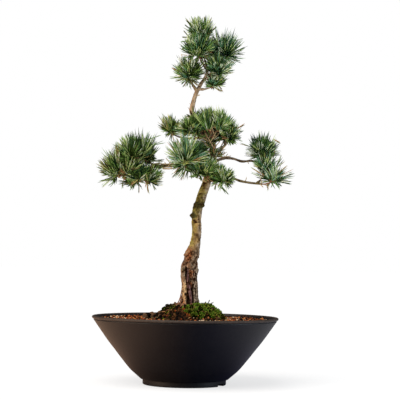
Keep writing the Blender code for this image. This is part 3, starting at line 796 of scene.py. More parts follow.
dice = np.random.default_rng(47)
grown = [
    moss_leaves(*points_on(*pads[name], count, dice), chances, dice) for name, count, chances in MOSS_LEAVES
]
plan = MOUND_CENTRE + (-8, -6) + dice.normal(0, 1, (THIN_MOSS_COUNT, 2)) * (22, 20)
ground = np.column_stack([plan, mound_height(plan) + 0.6])
ground = ground[ripple(ground, 9.0, 8) + 0.4 * ripple(ground, 3.0, 9) > -0.12]
ground = ground[np.linalg.norm(ground[:, :2], axis=-1) < THIN_MOSS_REACH]
grown.append(moss_leaves(ground, np.tile(UP, (len(ground), 1)), THIN_MOSS_CHANCES, dice))
leaves = join_shells([shell for shell, _ in grown])
leaf_slots = np.concatenate([slots for _, slots in grown])
belong(lay_mesh("moss_leaves", *leaves, moss_leaf_finishes, leaf_slots, "flat"), "moss_green")

# %% [markdown]
# ## Bark
#
# The trunk changes from foot to tip. The raised roots and the old stock below the graft have long grey
# flakes with dark cracks. The swelling of the graft is broken into reddish plates. Above it the skin is
# young, olive and tan with lichen at the left, and the last third is pale tan. So the relief is a sum of
# patterns, each weighted by height, and it is made in the mesh itself. The depth of the cracks and the
# places of lichen are kept as attributes, because a finish can then follow the relief exactly.

# %% Trunk, roots, burrs and boughs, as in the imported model
TRUNK = (
    (12, 0, 118, 7.8), (12, 0, 138, 6.4), (12, 0, 154, 6.5), (11, 0, 170, 7.3), (10.5, 0, 183, 8.9),
    (8, 0, 196, 11.3), (8.2, 0, 206, 11.6), (11.4, 1, 215, 9.8), (14.6, 1, 227, 7.6), (16, 2, 246, 7.1),
    (15.5, 3, 264, 7.2), (16.5, 4, 280, 7.4), (21.3, 5, 295, 7.3), (26.3, 6, 311, 7.0), (32.2, 5, 329, 6.7),
    (38, 2, 350, 6.1), (41, -1, 373, 5.3), (36, -3, 395, 4.8), (25, -3, 411, 4.4), (12, 0, 427, 4.0),
    (5, 3, 441, 3.7), (7.5, 5, 456, 3.4), (11.5, 5, 470, 3.1), (19, 3, 485, 2.6), (27, 0, 498, 2.3),
    (29, -2, 510, 1.9), (25, -3, 524, 1.5),
)
ROOTS = {
    "left": ((2, -2, 199, 5.5), (-3, -3, 189, 5.0), (-3.5, -4, 173, 4.9), (-2, -4, 157, 4.6),
        (-2, -5, 141, 4.9), (-3.5, -7, 119, 6.2)),
    "back": ((4, 4, 196, 4.0), (6, 7, 167, 3.1), (6, 7, 143, 3.1), (4, 9, 119, 4.4)),
    "right": ((14, 3, 173, 4.2), (16, 8, 148, 4.1), (18, 14, 119, 5.0)),
    "thin": ((-2, -4, 148, 1.3), (-7, -6, 136, 1.1), (-12, -8, 122, 1.2)),
}
BURRS = (
    (9, 0, 271, 5.0), (15, -1, 288, 5.2), (25, 0, 288, 4.5), (-1, -2, 207, 3.5), (9.5, 2, 451, 2.0),
)
Limb = namedtuple("Limb", "parent route first last")
LIMBS = {
    "bough_left_low": Limb("trunk", ((36, 3, 344), (18, 12, 346), (-3, 14, 351), (-26, 8, 352),
        (-48, 2, 350), (-68, -1, 345), (-86, -3, 339)), 3.4, 1.6),
    "bough_left_upper": Limb("bough_left_low", ((-48, 2, 350), (-58, 4, 354), (-67, 4, 358)), 1.7, 1.3),
    "bough_left_under": Limb("bough_left_low", ((-44, 2, 350), (-53, -3, 343), (-60, -5, 336)), 1.6, 1.2),
    "bough_front_left": Limb("trunk", ((37, 2, 347), (25, -14, 347), (12, -26, 349)), 2.4, 1.6),
    "bough_front_middle": Limb("trunk", ((34, 4, 337), (31, -8, 335), (27, -18, 334)), 1.8, 1.3),
    "bough_front_right": Limb("trunk", ((32, 4, 329), (38, -10, 328), (45, -19, 327)), 2.3, 1.5),
    "bough_right_low": Limb("trunk", ((35, 4, 339), (51, 6, 339), (70, 2, 334), (85, -4, 328),
        (101, -8, 325), (120, -10, 323)), 2.2, 1.4),
    "bough_right_raised": Limb("bough_right_low", ((112, -9, 324), (117, -7, 329), (121, -6, 335)), 1.2, 0.9),
    "bough_right_mid": Limb("trunk", ((39, 2, 357), (51, 8, 363), (64, 12, 366), (75, 13, 365),
        (88, 12, 361), (103, 10, 362), (112, 9, 360), (119, 8, 364)), 2.0, 1.3),
    "bough_right_inner": Limb("trunk", ((41, 0, 368), (50, -2, 376), (58, -4, 384), (61, -5, 391)), 1.9, 1.4),
    "bough_mid_left": Limb("trunk", ((27, -3, 409), (21, -7, 402), (17, -10, 397)), 1.8, 1.3),
    "bough_far_left": Limb("trunk", ((33, -3, 400), (17, 6, 397), (0, 10, 397), (-14, 10, 399),
        (-22, 10, 402)), 1.6, 1.0),
    "bough_mid_right": Limb("trunk", ((34, -3, 398), (36, -8, 396), (38, -12, 397)), 2.1, 1.5),
    "bough_back_low": Limb("trunk", ((38, 2, 354), (31, 18, 356), (21, 32, 359)), 2.1, 1.5),
    "bough_back_mid": Limb("trunk", ((36, -3, 395), (39, 10, 400), (41, 24, 405)), 1.9, 1.5),
    "bough_top_left": Limb("trunk", ((13, 5, 474), (8, 1, 481), (4, -2, 487)), 1.6, 1.1),
    "bough_top_low_right": Limb("trunk", ((15, 4, 477), (25, 2, 477), (34, 0, 479)), 1.2, 0.8),
    "bough_top_mid_right": Limb("trunk", ((27, 0, 499), (34, -6, 499), (41, -10, 500)), 1.3, 0.9),
    "bough_top_right": Limb("trunk", ((29, -2, 508), (39, 4, 516), (51, 8, 524)), 1.5, 1.1),
    "bough_top_front": Limb("trunk", ((29, -2, 511), (24, -10, 515), (19, -15, 521)), 1.2, 0.9),
    "bough_top_back": Limb("trunk", ((29, -2, 508), (24, 8, 516), (19, 17, 524)), 1.3, 1.0),
}


def limb_line(name, per_span=8):
    """The centre line and radii of the trunk or a bough."""
    if name == "trunk":
        rows = smooth(TRUNK, per_span)
        return rows[:, :3], rows[:, 3]
    limb = LIMBS[name]
    line = smooth(limb.route, per_span)
    return line, np.linspace(limb.first, limb.last, len(line))


print("limbs", len(LIMBS) + 1, "trunk tip", TRUNK[-1])


# %% The relief of the bark
def pushed(skin, amount, size, seed):
    """Points moved by noise of that size, by up to the amount along each axis."""
    return skin + amount * np.stack([ripple(skin, size, seed + k) for k in range(3)], axis=-1)


def old_bark(skin):
    """Flakes: ridges where stretched noise crosses zero, broken by plates that each have their own height."""
    moved = pushed(skin, 1.2, 5.0, 24)
    long = 1 - np.abs(ripple(moved * (1, 1, 0.25), 4.0, 21))
    short = 1 - np.abs(ripple(moved * (1, 1, 0.6), 2.2, 22))
    gap, own = plates(moved * (1, 1, 0.55), 4.6, 23)
    crack = 1 - ramp(gap, 0.02, 0.28)
    knobs = 1.3 * ripple(skin, 7.5, 27) + 0.9 * ripple(skin, 3.4, 28)
    lift = 0.9 * (long - 0.6) + 0.5 * (short - 0.6) + 1.5 * (own - 0.45) - 1.0 * crack + knobs
    depth = crack * 0.9 + 1.3 * (0.5 - long) + 0.6 * (0.4 - short) + 0.9 * (0.4 - own) - 0.3 * knobs
    return lift, np.clip(depth, 0, 1)


def plated_bark(skin):
    """Plates of the graft: scattered cells of two sizes, pushed about by noise, each at its own height."""
    moved = pushed(skin, 1.6, 4.0, 33)
    gap, own = plates(moved * (1, 1, 0.7), 6.5, 31)
    fine_gap, fine_own = plates(moved * (1, 1, 0.6), 3.0, 36)
    crack = np.maximum(1 - ramp(gap, 0.02, 0.26), 0.7 * (1 - ramp(fine_gap, 0.02, 0.25)))
    lumps = ripple(skin, 6.0, 37)
    lift = 1.5 * (own - 0.45) + 0.8 * (fine_own - 0.5) - 0.9 * crack
    lift = lift + 0.5 * ripple(skin, 2.4, 32) + 1.1 * lumps
    return lift, np.clip(crack + 1.0 * (0.45 - fine_own) - 0.35 * lumps, 0, 1)


def young_bark(skin):
    """Thin skin: low lumps, faint rings round the stem, pores, and a fine grain."""
    rings = ripple(skin * (0.25, 0.25, 1), 2.1, 41)
    pores = ramp(ripple(skin * (0.6, 0.6, 1), 2.2, 43), 0.35, 0.75)
    lumps = ripple(skin, 8.0, 42)
    rough = ripple(skin * (1, 1, 0.6), 3.4, 44)
    lift = 0.6 * lumps + 0.4 * rough + 0.25 * rings + 0.35 * pores
    return lift + 0.5, np.clip(-rings * 0.4 + pores * 0.9 - 0.8 * rough - 0.3 * lumps, 0, 1)


def bark_relief(skin):
    """Height of the bark over its tube in millimetres, and how deep each point lies in a crack, 0 to 1."""
    height = skin[..., 2] + 3.0 * ripple(skin, 11.0, 51)
    old = 1 - ramp(height, 186, 200)
    young = ramp(height, 208, 224)
    patterns = ((old_bark, old), (plated_bark, 1 - old - young), (young_bark, young))
    lift, crack = 0.0, 0.0
    for pattern, weight in patterns:
        own_lift, own_crack = pattern(skin)
        lift = lift + weight * own_lift
        crack = crack + weight * own_crack
    for x, y, z, radius in BURRS:
        inside = ramp(radius * 1.15 - np.linalg.norm(skin - (x, y, z), axis=-1), 0, radius * 1.15)
        lift = lift + inside * radius * (0.95 + 0.25 * ripple(skin, 2.5, 52))
        crack = crack + inside * 0.6 * (1 + ripple(skin, 2.0, 53))
    return lift, np.clip(crack, 0, 1)


HOLLOW_DEPTH = 2.6
CREVICES = (
    ((0.6, -9, 186), (1.6, -9, 174), (3.0, -8, 164), (4.4, -8, 154), (4.6, -8, 143), (4.4, -8, 118)),
    ((8.4, -8, 152), (10.6, -8, 142), (11.4, -8, 130), (10.8, -8, 118)),
)


def bark_tube(line, radii, columns, strength=1.0, hollow=None):
    """A tube whose radius grows by the relief of the bark, and the crack depth of each of its points, with
    painted shade where it is sunk near a hollow.

    point = centre + (radius + strength lift) (first cos a + second sin a), sunk near a hollow line."""
    _, first, second = frames_along(line)
    outward = spokes(first, second, full_turn(columns))
    skin = line[:, None] + outward * radii[:, None, None]
    lift, crack = bark_relief(skin)
    if hollow is not None:
        apart = np.linalg.norm((skin[:, :, None] - hollow[None, None]) * (1, 0.35, 1), axis=-1).min(-1)
        near = (1 - ramp(apart, 1.2, 3.6)) * (skin[..., 1] < 2)
        lift = lift - HOLLOW_DEPTH * near
        # Painted shade: the sunk hollow is painted as dark as the deepest crack
        crack = crack + near
    fine = np.minimum(radii / 6.0, 1.0)[:, None] * strength
    skin = skin + outward * (fine * lift)[..., None]
    points = np.vstack([skin.reshape(-1, 3), line[:1], line[-1:]])
    depths = np.concatenate([crack.ravel().clip(0, 1), [0.5, 0.5]])
    return (points, closed_grid(len(line), columns)), depths


flat = np.column_stack([np.linspace(0, 40, 5), np.zeros(5), np.full(5, 150.0)])
print("old bark", np.round(bark_relief(flat)[0], 2))

# %% [markdown]
# ### The bark's finish
#
# Height along the plant picks the ground colour through a colour ramp: grey-brown at the foot, tan and
# olive in the middle, brown inside the crown and pale tan above it. Attributes on the mesh then blend in
# colours that have a place. `rusty` is the red of the graft, `grey` is weathered scale, `bare` is the pale
# wood of the skinned root, `lichen` and `mossy` are what grows on the bark, and `wine` is the smooth root
# in the hollow. The shared patches break all of it up, and `crack` darkens last: the cracks, and painted
# shade in the hollow by the foot, on the back root and in specks on the trunk's right side.

# %% Bark finish
ZONES = (
    (0.125, (0.23, 0.16, 0.105)), (0.186, (0.29, 0.2, 0.13)), (0.2, (0.33, 0.215, 0.13)),
    (0.212, (0.34, 0.21, 0.11)), (0.222, (0.33, 0.215, 0.085)), (0.262, (0.44, 0.285, 0.11)),
    (0.276, (0.21, 0.172, 0.055)), (0.292, (0.205, 0.168, 0.052)), (0.304, (0.37, 0.3, 0.09)),
    (0.334, (0.35, 0.24, 0.1)), (0.352, (0.175, 0.12, 0.072)), (0.394, (0.18, 0.122, 0.075)),
    (0.416, (0.34, 0.22, 0.135)), (0.44, (0.52, 0.38, 0.25)),
)
LOWEST, HIGHEST = 0.12, 0.53
MARKED = {
    "rusty": (0.41, 0.15, 0.06), "grey": (0.47, 0.368, 0.27), "bare": (0.8, 0.52, 0.27),
    "lichen": (0.28, 0.26, 0.055), "mossy": (0.074, 0.068, 0.021), "wine": (0.21, 0.115, 0.12),
}
WORN_SHARE, WORN_SHADE = 0.85, (0.42, 0.345, 0.28)
# The colour of the cracks, also used for the painted shade that the crack mark carries
CRACK_AND_SHADE_COLOUR = (0.024, 0.009, 0.004)


def object_axis(tree, axis):
    """The Object coordinate along one axis."""
    where = add_node(tree, "TexCoord")
    return add_node(tree, "SeparateXYZ", Vector=where.outputs["Object"]).outputs[axis]


def colour_ramp(tree, value, rows, low, high):
    """A colour that runs through the rows of (place, colour) while the value goes from low to high."""
    share = add_node(tree, "MapRange", Value=value, From_Min=low, From_Max=high)
    shades = add_node(tree, "ValToRGB", Fac=share.outputs["Result"])
    while len(shades.color_ramp.elements) < len(rows):
        shades.color_ramp.elements.new(1.0)
    for element, (at, colour) in zip(shades.color_ramp.elements, rows):
        element.position = (at - low) / (high - low)
        element.color = (*colour, 1.0)
    return shades.outputs["Color"]


def read_mark(tree, label):
    """The share from 0 to 1 that the mesh keeps under this name."""
    node = add_node(tree, "Attribute")
    node.attribute_name = label
    return node.outputs["Fac"]


def bark_finish():
    """The ground colour by height, then each mark's colour, then worn patches, then the cracks and the
    painted shade that the crack mark carries.
    """
    material, tree, shader = new_finish("pine_bark", 0.86)
    uneven = place_patches(tree, 4.0, 0.5)
    colour = colour_ramp(tree, object_axis(tree, "Z"), ZONES, LOWEST, HIGHEST)
    for label, marked in MARKED.items():
        colour = blend_colours(tree, read_mark(tree, label), colour, marked)
    worn = dimmed(tree, uneven.outputs["Patches"], WORN_SHARE)
    colour = blend_colours(tree, worn, colour, WORN_SHADE, "MULTIPLY")
    colour = blend_colours(tree, read_mark(tree, "crack"), colour, CRACK_AND_SHADE_COLOUR)
    tree.links.new(colour, shader.inputs["Base Color"])
    raise_relief(tree, shader, uneven.outputs["Relief"], 0.35)
    return material


pine_bark = bark_finish()
print("bark zones", len(ZONES))


# %% Marks of lichen, grey weather and bare wood
def bark_marks(points, depths):
    """Crack depth, with painted shade added in specks on the right side, and masks from height, side and
    noise, each from 0 to 1.
    """
    height = points[:, 2]
    foot = 1 - ramp(height, 180, 200)
    centre = np.column_stack([np.interp(height, *column) for column in axis_columns])
    left = unit(points[:, :2] - centre + 1e-6)[:, 0] * -1
    middle = ramp(height, 212, 230) * (1 - ramp(height, 330, 345))
    blotch = ripple(points, 7.0, 61) + 0.5 * ripple(points, 2.5, 62)
    lichen = middle * ramp(left + 0.9 * blotch, 0.1, 1.0) * 0.65
    grey = middle * ramp(-left + 0.6 * blotch, 0.15, 0.9) * 0.75
    grey = grey + foot * ramp(-left + blotch, -0.3, 1.0) * 0.8
    graft = ramp(height, 196, 208) * (1 - ramp(height, 218, 232))
    grey = grey + graft * ramp(-left + 0.6 * blotch, 0.0, 0.9) * 0.6
    reddened = ripple(points, 6.0, 66) + 0.6 * ripple(points, 2.4, 67) + 0.4 * left
    rusty = (1 - ramp(height, 212, 226)) * ramp(reddened, -0.1, 0.6)
    callus = np.linalg.norm((points[:, ::2] - (0.5, 203)) / (7.5, 7), axis=-1)
    callus = callus + 0.35 * ripple(points, 2.4, 67)
    rusty = np.maximum(rusty, (1 - ramp(callus, 0.6, 1.3)) * (points[:, 1] < 6))
    low = np.linalg.norm((points[:, ::2] - (6, 190)) / (8, 7), axis=-1)
    rusty = rusty * (0.3 + 0.7 * ramp(low, 0.7, 1.3))
    grown = np.zeros(len(points))
    for x, y, z, radius in BURRS[:3]:
        apart = np.linalg.norm((points - (x, y, z)) * (0.7, 0.7, 1), axis=-1)
        apart = apart + 2.0 * ripple(points, 2.6, 68)
        grown = np.maximum(grown, 1 - ramp(apart, radius * 0.8, radius * 1.55))
    spots = ripple(points, 5.0, 69) + 0.5 * ripple(points, 2.0, 70)
    grown = np.maximum(grown, foot * ramp(spots, 0.35, 0.8) * 0.7)
    # Specks round the old foot, and on the right side of the middle trunk, away from the key lamp, where the
    # dark specks are painted shade
    specked_foot_and_shaded_side = np.maximum(1 - ramp(height, 205, 225), 0.9 * middle * ramp(-left, 0.0, 0.6))
    specks = ripple(points * (1, 1, 0.7), 2.0, 72) + 0.6 * ripple(points * (1, 1, 0.5), 4.2, 73)
    grey = np.maximum(grey, specked_foot_and_shaded_side * ramp(specks, 0.25, 0.85) * 0.75)
    depths = np.maximum(depths, specked_foot_and_shaded_side * ramp(-specks, 0.0, 0.7) * 0.9)
    depths = np.clip(depths * (1 + 0.35 * foot), 0, 1)
    return {"crack": depths, "lichen": lichen, "grey": np.clip(grey, 0, 1), "rusty": rusty, "mossy": grown}


trunk_rows = smooth(TRUNK, 8)
axis_columns = [(trunk_rows[:, 2], trunk_rows[:, 0]), (trunk_rows[:, 2], trunk_rows[:, 1])]
print("trunk rows", len(trunk_rows))

# %% The trunk on its raised roots
INNER_ROOT = ((3.0, -3.5, 190, 1.2), (3.0, -5.0, 177, 1.7), (3.8, -6.4, 165, 2.3), (5.6, -7.4, 153, 2.5),
              (7.8, -7.4, 142, 2.1), (8.8, -7.4, 130, 1.7), (7.8, -8.0, 118, 2.0))
# How strong the relief is on each root, how many columns it has, how much wider than the imported root it is,
# and how much darker its bark is painted: the back root is widened and darkened as painted shade that fills
# the crevice behind the foot
ROOT_FINISH = {
    "left": (0.75, 48, 0.0, 0.0), "back": (0.5, 40, 4.2, 0.55), "right": (0.75, 48, 0.0, 0.0),
    "thin": (0.3, 20, 0.0, 0.2), "inner": (0.3, 28, 0.0, -0.2),
}
LOWEST_BARK = GROUND_HEIGHT - 3
trunk_run = even_steps(trunk_rows, 1.0)
trunk_run = trunk_run[trunk_run[:, 2] > LOWEST_BARK]
hollow = np.vstack([even_steps(smooth(line, 6), 1.5) for line in CREVICES])
shell, depth = bark_tube(trunk_run[:, :3], trunk_run[:, 3], 104, hollow=hollow)
shells, depths, bare, wine = [shell], [depth], [depth * 0], [depth * 0]
for name, stations in (*ROOTS.items(), ("inner", INNER_ROOT)):
    strength, columns, wider, shade = ROOT_FINISH[name]
    run = even_steps(smooth(stations, 8), 1.0)
    run = run[run[:, 2] > LOWEST_BARK]
    near_hollow = hollow if name == "left" else None
    shell, depth = bark_tube(run[:, :3], run[:, 3] + wider, columns, strength, near_hollow)
    streaks = ripple(shell[0] * (1, 1, 0.18), 2.6, 65)
    skinned = (1 - ramp(shell[0][:, 2] + 6 * streaks, 158, 172)) * (name == "left")
    shells.append(shell)
    bare.append(skinned * ramp(streaks, -0.75, -0.1) * (0.3 + 0.7 * ramp(shell[0][:, 2], 124, 148)))
    wine.append(np.full(len(depth), float(name == "inner")) * 0.9)
    depths.append(np.clip(depth * (1 - 0.6 * skinned) + shade, 0, 1))
trunk_points, trunk_faces = join_shells(shells)
marks = bark_marks(trunk_points, np.concatenate(depths))
marks |= {"bare": np.concatenate(bare), "wine": np.concatenate(wine)}
upper_left = (trunk_points[:, 0] < 0.5) & (trunk_points[:, 2] > 146)
marks["rusty"] = marks["rusty"] * np.where(upper_left, 0.35, 1.0)
belong(lay_mesh("trunk_bark", trunk_points, trunk_faces, [pine_bark], **marks), "bark", "trunk")

# %% Boughs, each flared where it leaves its parent
FLARE_LENGTH = 5.0
BOUGH_STEP = 1.1
shells, depths = [], []
for name in LIMBS:
    run = even_steps(np.column_stack(limb_line(name)), BOUGH_STEP)
    away = np.arange(len(run)) * BOUGH_STEP
    start = 6.0 if LIMBS[name].parent == "trunk" else 1.5
    swell = 1 + 0.7 * np.exp(-((away - start).clip(0) / FLARE_LENGTH) ** 2)
    nodes = 1.16 + 0.18 * ripple(run[:, :3], 6.0, 71)
    shell, depth = bark_tube(run[:, :3], run[:, 3] * swell * nodes, 18, 0.45)
    shells.append(shell)
    depths.append(depth)
bough_points, bough_faces = join_shells(shells)
marks = bark_marks(bough_points, np.concatenate(depths))
plain = marks["crack"] * 0
marks |= {"lichen": plain, "bare": plain, "wine": plain, "rusty": plain}
marks["mossy"] = 0.60 * (1 - ramp(bough_points[:, 2], 354, 366))
marks["grey"] = 0.2 + 0.6 * ramp(ripple(bough_points, 6.0, 64), -0.6, 0.6)
belong(lay_mesh("boughs_bark", bough_points, bough_faces, [pine_bark], **marks), "bark", *LIMBS)

# %% [markdown]
# ## How the needles grow
#
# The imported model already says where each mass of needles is: a stem curves from its bough's tip to the
# heart of the mass, and a handful of tufts stand on a spiral over a shell round that heart. The same rule
# is written again here and carried on. Each tuft becomes a main shoot with a few side shoots, each shoot
# carries bundles of needles up a second spiral, and each bundle opens into five needles, as the
# needles of this pine do.

# %% The masses and the rule that places their tufts
Mass = namedtuple("Mass", "limb heart shell lean fan lift phase tufts needle")


def by_node(rows):
    """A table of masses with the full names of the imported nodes."""
    return {"needles_" + name: row for name, row in rows.items()}


MASSES = by_node({
    "left_upper": Mass("bough_left_upper", (-84, 2, 359), (16, 24, 7), (-0.1, 0, 1), 85, 0.9, 0.6, 5, 28),
    "left_lower": Mass("bough_left_low", (-105, -4, 334), (11, 20, 8), (-0.4, 0, 0.8), 95, 0.4, 2.0, 4, 26),
    "left_under": Mass("bough_left_under", (-76, -6, 325), (12, 18, 4), (0.2, 0, 0.8), 95, 0.3, 0.9, 3, 26),
    "front_left": Mass("bough_front_left", (-3, -34, 351), (6, 4, 3), (-0.3, -0.4, 1), 50, 0.3, 2.5, 2, 36),
    "front_middle": Mass("bough_front_middle", (22, -26, 335),
        (7, 5, 3), (-0.1, -0.5, 1), 80, 0.2, 1.0, 2, 24),
    "front_right": Mass("bough_front_right", (53, -24, 327),
        (9, 8, 2), (0.2, -0.3, 0.9), 85, 0.4, 0.0, 2, 24),
    "right_low": Mass("bough_right_low", (136, -12, 327), (6, 5, 3), (0.3, 0, 1), 60, 0.1, 3.4, 2, 29),
    "right_raised": Mass("bough_right_raised", (125, -5, 343), (3, 4, 3), (-0.1, 0, 1), 50, 0.6, 0.6, 1, 24),
    "right_mid": Mass("bough_right_mid", (122, 8, 369), (4, 6, 3), (-0.1, 0, 1), 50, 0.9, 1.4, 2, 27),
    "right_inner": Mass("bough_right_inner", (61, -6, 396), (7, 10, 4), (0.5, 0, 0.9), 80, 0.4, 0.3, 3, 21),
    "mid_left": Mass("bough_mid_left", (7, -14, 402), (8, 7, 4), (-0.2, 0, 1), 80, 0.7, 1.4, 2, 27),
    "far_left": Mass("bough_far_left", (-27, 10, 404), (3, 3, 3), (-0.2, 0, 1), 60, 0.3, 2.4, 1, 22),
    "mid_right": Mass("bough_mid_right", (42, -12, 405), (13, 15, 6), (0, 0, 1), 85, 0.8, 0.4, 4, 26),
    "back_low": Mass("bough_back_low", (8, 44, 362), (14, 10, 6), (-0.2, 0.5, 1), 85, 0.5, 0.2, 3, 29),
    "back_mid": Mass("bough_back_mid", (42, 34, 408), (12, 10, 6), (0.1, 0.5, 1), 85, 0.6, 0.9, 3, 27),
    "top_left": Mass("bough_top_left", (-1, -4, 493), (7, 8, 4), (-0.2, 0, 1), 80, 0.5, 2.6, 2, 28),
    "crown": Mass("trunk", (17, -3, 558), (6, 6, 6), (0, 0, 1), 70, 0.8, 0.5, 3, 23),
    "top_front": Mass("bough_top_front", (16, -18, 528), (7, 4, 7), (-0.1, -0.2, 1), 75, 0.7, 2.4, 3, 25),
    "top_right": Mass("bough_top_right", (54, 8, 530), (7, 8, 3), (0.1, 0, 1), 60, 0.6, 0.4, 2, 29),
    "top_low_right": Mass("bough_top_low_right", (38, 0, 481), (3, 3, 2), (0.4, 0, 1), 60, 0.3, 0.0, 1, 19),
    "top_mid_right": Mass("bough_top_mid_right", (45, -12, 502),
        (5, 5, 3), (0.4, -0.2, 0.8), 70, 0.3, 0.3, 2, 22),
    "top_back": Mass("bough_top_back", (19, 26, 533), (7, 7, 5), (0, 0.5, 1), 80, 0.7, 0.6, 2, 26),
})
CORE_LENGTH = 15.0
CORE_RADIUS = 3.4
SWEEP = 0.30
TWIG_RADIUS = 1.1


def sides_of(axis):
    """Two unit vectors square to the axis and to each other."""
    first = unit(np.cross(axis, (0.31, 0.89, 0.17)))
    return first, np.cross(axis, first)


def stem_of(name, steps=5):
    """The stem of a mass: a quadratic curve from its limb's tip, on in the same direction, to its heart."""
    mass = MASSES[name]
    line, radii = limb_line(mass.limb, 2)
    way = unit(line[-1] - line[-2])
    heart = np.array(mass.heart, float)
    bend = line[-1] + way * 0.45 * np.linalg.norm(heart - line[-1])
    t = np.linspace(0, 1, steps)[:, None]
    return (1 - t) ** 2 * line[-1] + 2 * (1 - t) * t * bend + t**2 * heart, radii[-1]


def tufts_of(name):
    """(base, axis) of each tuft, on a spiral over the mass's shell about the way it leans."""
    mass = MASSES[name]
    lean = unit(mass.lean)
    first, second = sides_of(lean)
    index = np.arange(mass.tufts)[:, None]
    share = (index + 0.5) / mass.tufts if mass.tufts > 1 else index * 0.0
    along = 1 - share * (1 - math.cos(math.radians(mass.fan)))
    turn = mass.phase + index * GOLDEN_ANGLE
    out = lean * along + (first * np.cos(turn) + second * np.sin(turn)) * np.sqrt(1 - along**2)
    return np.array(mass.heart) + np.array(mass.shell) * out, unit(out + mass.lift * UP)


print("tufts", sum(mass.tufts for mass in MASSES.values()), "in", len(MASSES), "masses")

# %% [markdown]
# ### Twigs and shoots
#
# Each twig leaves the stem in the stem's own direction and bends over to its tuft, so it is a smooth curve
# through four stations. The main shoot goes on along the tuft, and the side shoots leave it a golden angle
# apart. All of them are thin tubes, rough where old needles have dropped, and each ends in a pointed bud.
# Shoots that get too little light die and stay on the tree as bare, pale twigs with one fork. They stand
# along the boughs and thickest in the middle of the crown, so they are listed one by one.

# %% Shoots of a mass
SIDE_SHOOTS = 4
SINK = 4.5
MAIN_BUNDLES, SIDE_BUNDLES = 15, 9
Shoot = namedtuple("Shoot", "start way length bundles fan centre axis")


def shoots_of(name, dice):
    """The main shoot and the side shoots of each tuft, as lines and as what the needles need to know."""
    bases, axes = tufts_of(name)
    stem, stem_radius = stem_of(name)
    lines = [(stem, np.linspace(stem_radius, TWIG_RADIUS * 1.1, len(stem)))]
    shoots = []
    for base, axis in zip(bases, axes):
        root = stem[-2]
        span = np.linalg.norm(base - root)
        leaving = root + unit(stem[-1] - stem[-2]) * 0.35 * span
        arriving = base - axis * 0.12 * span
        twig = smooth([root, leaving, arriving, base + axis * 3], 4)
        lines.append((twig, np.linspace(TWIG_RADIUS, 0.8, len(twig))))
        centre = base + axis * CORE_LENGTH * 0.4
        length = dice.uniform(9.5, 12.5)
        foot = base - axis * SINK
        shoots.append(Shoot(foot, axis, length, MAIN_BUNDLES, 100, centre, axis))
        first, second = sides_of(axis)
        start_turn = dice.uniform(0, 2 * math.pi)
        for index in range(SIDE_SHOOTS):
            turn = start_turn + index * GOLDEN_ANGLE
            out = first * math.cos(turn) + second * math.sin(turn)
            way = unit(axis * dice.uniform(0.5, 0.9) + out + 0.25 * UP)
            start = foot + axis * (0.5 + 1.6 * index)
            shoots.append(Shoot(start, way, dice.uniform(6.0, 9.0), SIDE_BUNDLES, 90, centre, axis))
    for shoot in shoots:
        bend = shoot.start + shoot.way * shoot.length * 0.55 + UP * 0.3
        tip = shoot.start + shoot.way * shoot.length
        lines.append((np.array([shoot.start, bend, tip]), np.array([0.85, 0.72, 0.6])))
    return lines, shoots


all_lines, all_shoots = [], {}
for name in MASSES:
    dice = np.random.default_rng(list(name.encode()))
    lines, all_shoots[name] = shoots_of(name, dice)
    all_lines += lines
print("shoots", sum(len(shoots) for shoots in all_shoots.values()), "twig lines", len(all_lines))

